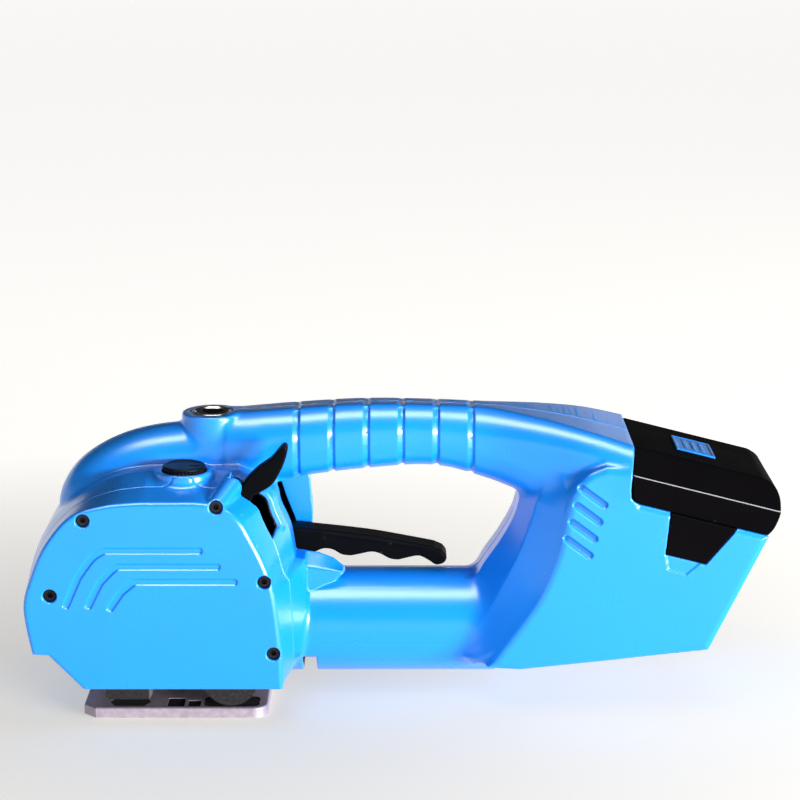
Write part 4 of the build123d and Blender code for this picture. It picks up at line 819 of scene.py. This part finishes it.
def build_housing():
    """The two halves, and the head's two covers."""
    cover_near = ((-200, -200, -200), (COVER_REAR, COVER_NEAR, 300))
    cover_far = ((-200, COVER_FAR, -200), (COVER_REAR, 200, 300))
    for name, node, low_y, high_y, cover, sign in [
            ("housing_near_shell", "housing_near", -54, 1, cover_near, 1),
            ("housing_far_shell", "housing_far", -1, 49, cover_far, -1)]:
        half, filled = shell_field((-73, low_y, 6), (286, high_y, 146), PITCH)
        half.keep(half_space(1, -sign * SEAM, sign))
        half.keep(outside(*cover))
        piece(name, half, "tool_body", "blue_abs", node, skin=filled)
    for name, node, low_y, high_y, cover in [
            ("head_cover_near_shell", "head_cover_near", -54, COVER_NEAR + 2, cover_near),
            ("head_cover_far_shell", "head_cover_far", COVER_FAR - 2, 49, cover_far)]:
        lid, filled = shell_field((-73, low_y, 12), (COVER_REAR, high_y, 118), COVER_PITCH)
        lid.keep(block(*cover))
        piece(name, lid, "tool_body", "blue_abs", node, skin=filled)


def battery_form(distance, low, high):
    """A form given in the battery's own frame: u along its top, y across, n out of the shell."""
    c, s = math.cos(TILT), math.sin(TILT)

    def in_place(x, y, z):
        x, z = x - BATTERY_ORIGIN[0], z - BATTERY_ORIGIN[1]
        return distance(x * c - z * s, y, x * s + z * c)

    corners = np.array([battery_point(u, n) for u in (low[0], high[0]) for n in (low[2], high[2])])
    (x0, z0), (x1, z1) = corners.min(0), corners.max(0)
    return Shape(in_place, (x0, low[1], z0), (x1, high[1], z1))


def crossed(side, cross, radius):
    """The common part of an outline seen from the side (u, n) and one seen along the battery (y, n)."""
    places = np.array(side)
    reach = np.array(cross)[:, 0]

    def distance(u, y, n):
        return edge(flat_distance(side, u, n), flat_distance(cross, y, n), radius)

    low = (places[:, 0].min(), reach.min(), places[:, 1].min())
    return battery_form(distance, low, (places[:, 0].max(), reach.max(), places[:, 1].max()))


def battery_block(low, high, rounding):
    """A box square to the battery's own frame."""
    return battery_form(block(low, high, rounding).distance, low, high)


def build_battery():
    """The battery: a bevelled cap on a stem with guide grooves and contact slots, an inlay and two tabs."""
    case = Field((206, -42, 40), (286, 42, 130), FINE)
    case.add(crossed(CAP, CAP_CROSS, 1.1))
    case.add(crossed(STEM, STEM_CROSS, 1.5), 0.6)
    for y in (-STEM_HALF, STEM_HALF):
        for u in (20.0, 48.0):
            case.press(battery_block((u, y - 2, STEM_N - 2), (u + 4, y + 2, SEAM_N - 4), 0.3), 0.8, 0.6)
    case.take(crossed(CAP_HOLLOW, HOLLOW_CROSS, 0.5))
    case.take(battery_block((21.9, -12.1, -0.9), (41.1, 13.1, 3), 0.2))
    for y in (-9.0, 0.0, 9.0):
        case.take(battery_block((23, y - 0.8, STEM_N - 2), (33, y + 0.8, STEM_N + 4), 0.1))
    piece("battery_shell", case, "battery", "black_nylon", "battery_case", material="battery_black")

    inlay = Field((228, -14, 110), (258, 15, 124), FINEST)
    inlay.add(battery_block((22.1, -11.9, -0.8), (40.9, 12.9, 0.35), 0.3))
    inlay.press(battery_block((23.4, -10.6, -0.2), (39.6, 11.6, 1.0), 0.2), 0.3, 0.3)
    for u in (27.5, 31.5, 35.5):
        inlay.press(battery_block((u - 0.9, -7.5, -0.5), (u + 0.9, 8.5, 1.0), 0.2), -0.25, 0.4)
    piece("battery_inlay", inlay, "battery", "badge_blue", "battery_badge")

    for name, node, y0, y1 in [
            ("latch_near_tab", "latch_near", -40.4, -38.0),
            ("latch_far_tab", "latch_far", 38.0, 40.4)]:
        tab = Field((218, min(y0, y1) - 1, 66), (262, max(y0, y1) + 1, 104), 0.35)
        tab.add(prism(battery_line(TAB), y0, y1, 0.6))
        piece(name, tab, node, "black_nylon", node)


def box_middle(low, high):
    """The middle of a box given in metres, in millimetres."""
    return [(a + b) / 2 / MM for a, b in zip(low, high)]


def build_levers():
    """The hand lever and the thumb lever, each with its pivot bore and the bore of its roller."""
    lever = Field((-18, -9, 56), (130, 9, 88), FINE)
    lever.add(prism(LEVER, -LIFT_HALF, LIFT_HALF, 1.6))
    lever.add(turned_part(1, (LIFT_PIVOT[0], 0, LIFT_PIVOT[1]), 8.0, -LIFT_HALF, LIFT_HALF, 0.4))
    lever.add(prism(LEVER_ARM, -LIFT_HALF, LIFT_HALF, 0.4))
    for y in (-LIFT_HALF, LIFT_HALF):
        lever.press(channel([(70.0, 76.2), (113.0, 70.0)], 1.3, y, 1.5), 0.4, 0.8)
    low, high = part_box("lift_roller")
    middle = box_middle(low, high)
    lever.take(block((-14.0, -4.3, 56.0), (middle[0] + 5.0, 4.3, 88.0)))
    lever.take(turned_part(1, (LIFT_PIVOT[0], 0, LIFT_PIVOT[1]), PIN_R, -9, 9))
    lever.take(turned_part(1, middle, 1.5, -9, 9))
    piece("hand_lever", lever, "lift_lever", "black_grip", "lift_lever")

    thumb = Field((-46, -39, 60), (56, -28, 131), FINE)
    thumb.add(prism(THUMB_ARM, ARM_NEAR, ARM_FAR, 1.2))
    thumb.add(turned_part(1, (WELD_PIVOT[0], 0, WELD_PIVOT[1]), 7.5, ARM_NEAR, ARM_FAR, 0.4))
    low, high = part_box("weld_roller")
    middle = box_middle(low, high)
    thumb.take(block((-30.0, middle[1] - 2.3, 55.0), (middle[0] + 4.0, middle[1] + 2.3, 78.0)))
    thumb.take(turned_part(1, (WELD_PIVOT[0], 0, WELD_PIVOT[1]), PIN_R, -40, -28))
    thumb.take(turned_part(1, middle, 1.2, -40, -28))
    piece("thumb_lever", thumb, "weld_lever", "black_grip", "weld_lever")


def build_controls():
    """The button with its ring, and the dial."""
    x, y, z = BUTTON
    button = Field((x - 8, y - 8, z - 14), (x + 8, y + 8, z + 2), FINEST)
    button.add(turned_part(2, BUTTON, 6.6, z - 7.0, z + 0.6, 0.9))
    button.add(turned_part(2, BUTTON, 3.0, z - 13.0, z - 6.0, 0.3))
    button.take(spindle((x, y, z + 14.6), (x, y, z + 15.6), 14.8, 14.8), 0.4)
    button.press(turned_part(2, BUTTON, 4.9, z - 1.0, z + 2.0, 0.2), 0.3, 0.3)
    piece("button_cap", button, "tension_button", "switch_black", "tension_button")
    ring = Field((x - 11, y - 11, z - 5), (x + 11, y + 11, z + 2), FINEST)
    ring.add(turned_part(2, BUTTON, 9.6, z - 4.0, z + 1.0, 0.7))
    ring.take(turned_part(2, BUTTON, 6.9, z - 6.0, z + 3.0))
    ring.take(turned_part(2, BUTTON, 7.0, z - 0.4, z + 1.1, 0.0, 8.4), 0.2)
    piece("button_ring", ring, "tool_body", "chrome_trim", "button_bezel")
    x, y, z = DIAL
    dial = Field((x - 11, y - 11, z - 17), (x + 11, y + 11, z + 3), FINEST)
    knob = turned_part(2, DIAL, 10.0, z - 4.0, z + 2.0, 0.9)

    def ribbed(px, py, pz):
        turn = np.arctan2(py - y, px - x)
        low_band = np.clip((z + 0.9 - pz) / 0.6, 0, 1)
        return knob.distance(px, py, pz) + 0.22 * low_band * (1 - np.cos(36 * turn))

    dial.add(Shape(ribbed, knob.low, knob.high))
    dial.add(turned_part(2, DIAL, 2.0, 99.0, z - 3.0))
    dial.press(turned_part(2, DIAL, 8.2, z + 1.0, z + 4.0, 0.2), 0.35, 0.5)
    dial.take(block((x + 2.5, y - 0.6, z + 1.1), (x + 8.0, y + 0.6, z + 4.0), 0.2), 0.2)
    piece("dial_knob", dial, "tension_dial", "dial_black", "tension_dial")


dress_nodes()
build_housing()
build_battery()
build_levers()
build_controls()


# ---------------------------------------------------------------- camera, floor and light
TARGET = Vector((0.1045, 0.0, 0.0652))
DISTANCE, ELEVATION = 1.1, math.radians(17.0)
LENS, SHIFT_UP = 103.95, 0.19375  # the lens in millimetres; the shift in widths of the frame


def make_camera():
    """The photo's viewpoint: square to the tool's side, a little above it."""
    data = bpy.data.cameras.new("camera")
    data.sensor_width = 36.0
    data.lens = LENS
    data.shift_y = SHIFT_UP
    camera = bpy.data.objects.new("camera", data)
    back = Vector((0.0, -math.cos(ELEVATION), math.sin(ELEVATION)))
    camera.location = TARGET + DISTANCE * back
    camera.rotation_euler = back.to_track_quat("Z", "Y").to_euler()
    bpy.context.collection.objects.link(camera)
    bpy.context.scene.camera = camera


def make_light(name, place, aim, size_x, size_y, watts, gloss_only=False):
    """A flat light at place that faces aim. With gloss_only it shows in reflections but lights nothing."""
    data = bpy.data.lights.new(name, "AREA")
    data.shape = "RECTANGLE"
    data.size, data.size_y = size_x, size_y
    data.energy = watts
    light = bpy.data.objects.new(name, data)
    light.location = place
    light.visible_diffuse = not gloss_only
    direction = Vector(aim) - Vector(place)
    light.rotation_euler = direction.to_track_quat("-Z", "Y").to_euler()
    bpy.context.collection.objects.link(light)


FLOOR_RINGS = [1.0, 3.0]
FLOOR_FLAT, FLOOR_EDGE, FLOOR_RISE = 5.0, 8.0, 1.5
FLOOR_TURNS, BEND_STEPS = 64, 8
PAINTED_SHADOW_REACH, GLOW_WITH_PAINTED_SHADOW = (0.08, 0.46), (0.46, 0.86)  # metres from the origin, and the glow there, dimmer near the object as a painted shadow


def make_floor():
    """A pale round floor that curls up at its far edge and glows, less near the object: a painted shadow
    under it.
    """
    material, nodes, links, shader = node_material("studio_floor")
    shader.inputs["Base Color"].default_value = (0.6, 0.54, 0.43, 1)
    shader.inputs["Roughness"].default_value = 0.8
    shader.inputs["Specular IOR Level"].default_value = 0.0
    shader.inputs["Emission Color"].default_value = (1, 1, 1, 1)
    reach = nodes.new("ShaderNodeVectorMath")
    reach.operation = "LENGTH"
    links.new(nodes.new("ShaderNodeTexCoord").outputs["Object"], reach.inputs[0])
    # painted shadow: the floor's glow drops near the object
    glow_with_painted_shadow = spread(nodes, links, reach.outputs["Value"], PAINTED_SHADOW_REACH, GLOW_WITH_PAINTED_SHADOW)
    links.new(glow_with_painted_shadow, shader.inputs["Emission Strength"])
    profile = [(r, 0.0) for r in FLOOR_RINGS]
    for i in range(BEND_STEPS + 1):
        bend = math.pi / 2 * i / BEND_STEPS
        out = FLOOR_FLAT + (FLOOR_EDGE - FLOOR_FLAT) * math.sin(bend)
        profile.append((out, FLOOR_RISE * (1 - math.cos(bend))))
    turns = [math.tau * i / FLOOR_TURNS for i in range(FLOOR_TURNS)]
    points = [(r * math.cos(a), r * math.sin(a), z) for r, z in profile for a in turns]
    points.append((0.0, 0.0, 0.0))
    faces = [(len(points) - 1, i, (i + 1) % FLOOR_TURNS) for i in range(FLOOR_TURNS)]
    for ring in range(len(profile) - 1):
        a, b = ring * FLOOR_TURNS, (ring + 1) * FLOOR_TURNS
        for i in range(FLOOR_TURNS):
            k = (i + 1) % FLOOR_TURNS
            faces.append((a + i, b + i, b + k, a + k))
    mesh = bpy.data.meshes.new("floor")
    mesh.from_pydata(points, [], faces)
    mesh.polygons.foreach_set("use_smooth", [True] * len(faces))
    mesh.materials.append(material)
    floor = bpy.data.objects.new("floor", mesh)
    bpy.context.collection.objects.link(floor)


make_camera()
make_floor()
make_light("key", (1.7, -1.4, 0.2), (0.12, 0, 0.07), 1.2, 0.36, 104)
make_light("top", (-0.2, -0.5, 1.3), (0.1, 0, 0.12), 1.3, 0.3, 2.5)
make_light("sheen", (0.1, -0.4, 1.2), (0.1, 0, 0.12), 1.4, 0.4, 22, gloss_only=True)
make_light("rim", (1.4, 0.6, 0.24), (0.05, 0, 0.06), 1.0, 0.44, 3)
make_light("fill", (-0.9, -1.6, 0.3), (0.1, 0, 0.06), 1.2, 0.5, 0.8)
world = bpy.data.worlds.new("studio")
world.use_nodes = True
world.node_tree.nodes["Background"].inputs["Color"].default_value = (1, 1, 1, 1)
world.node_tree.nodes["Background"].inputs["Strength"].default_value = 0.05
bpy.context.scene.world = world
bpy.context.scene.view_settings.view_transform = "Standard"
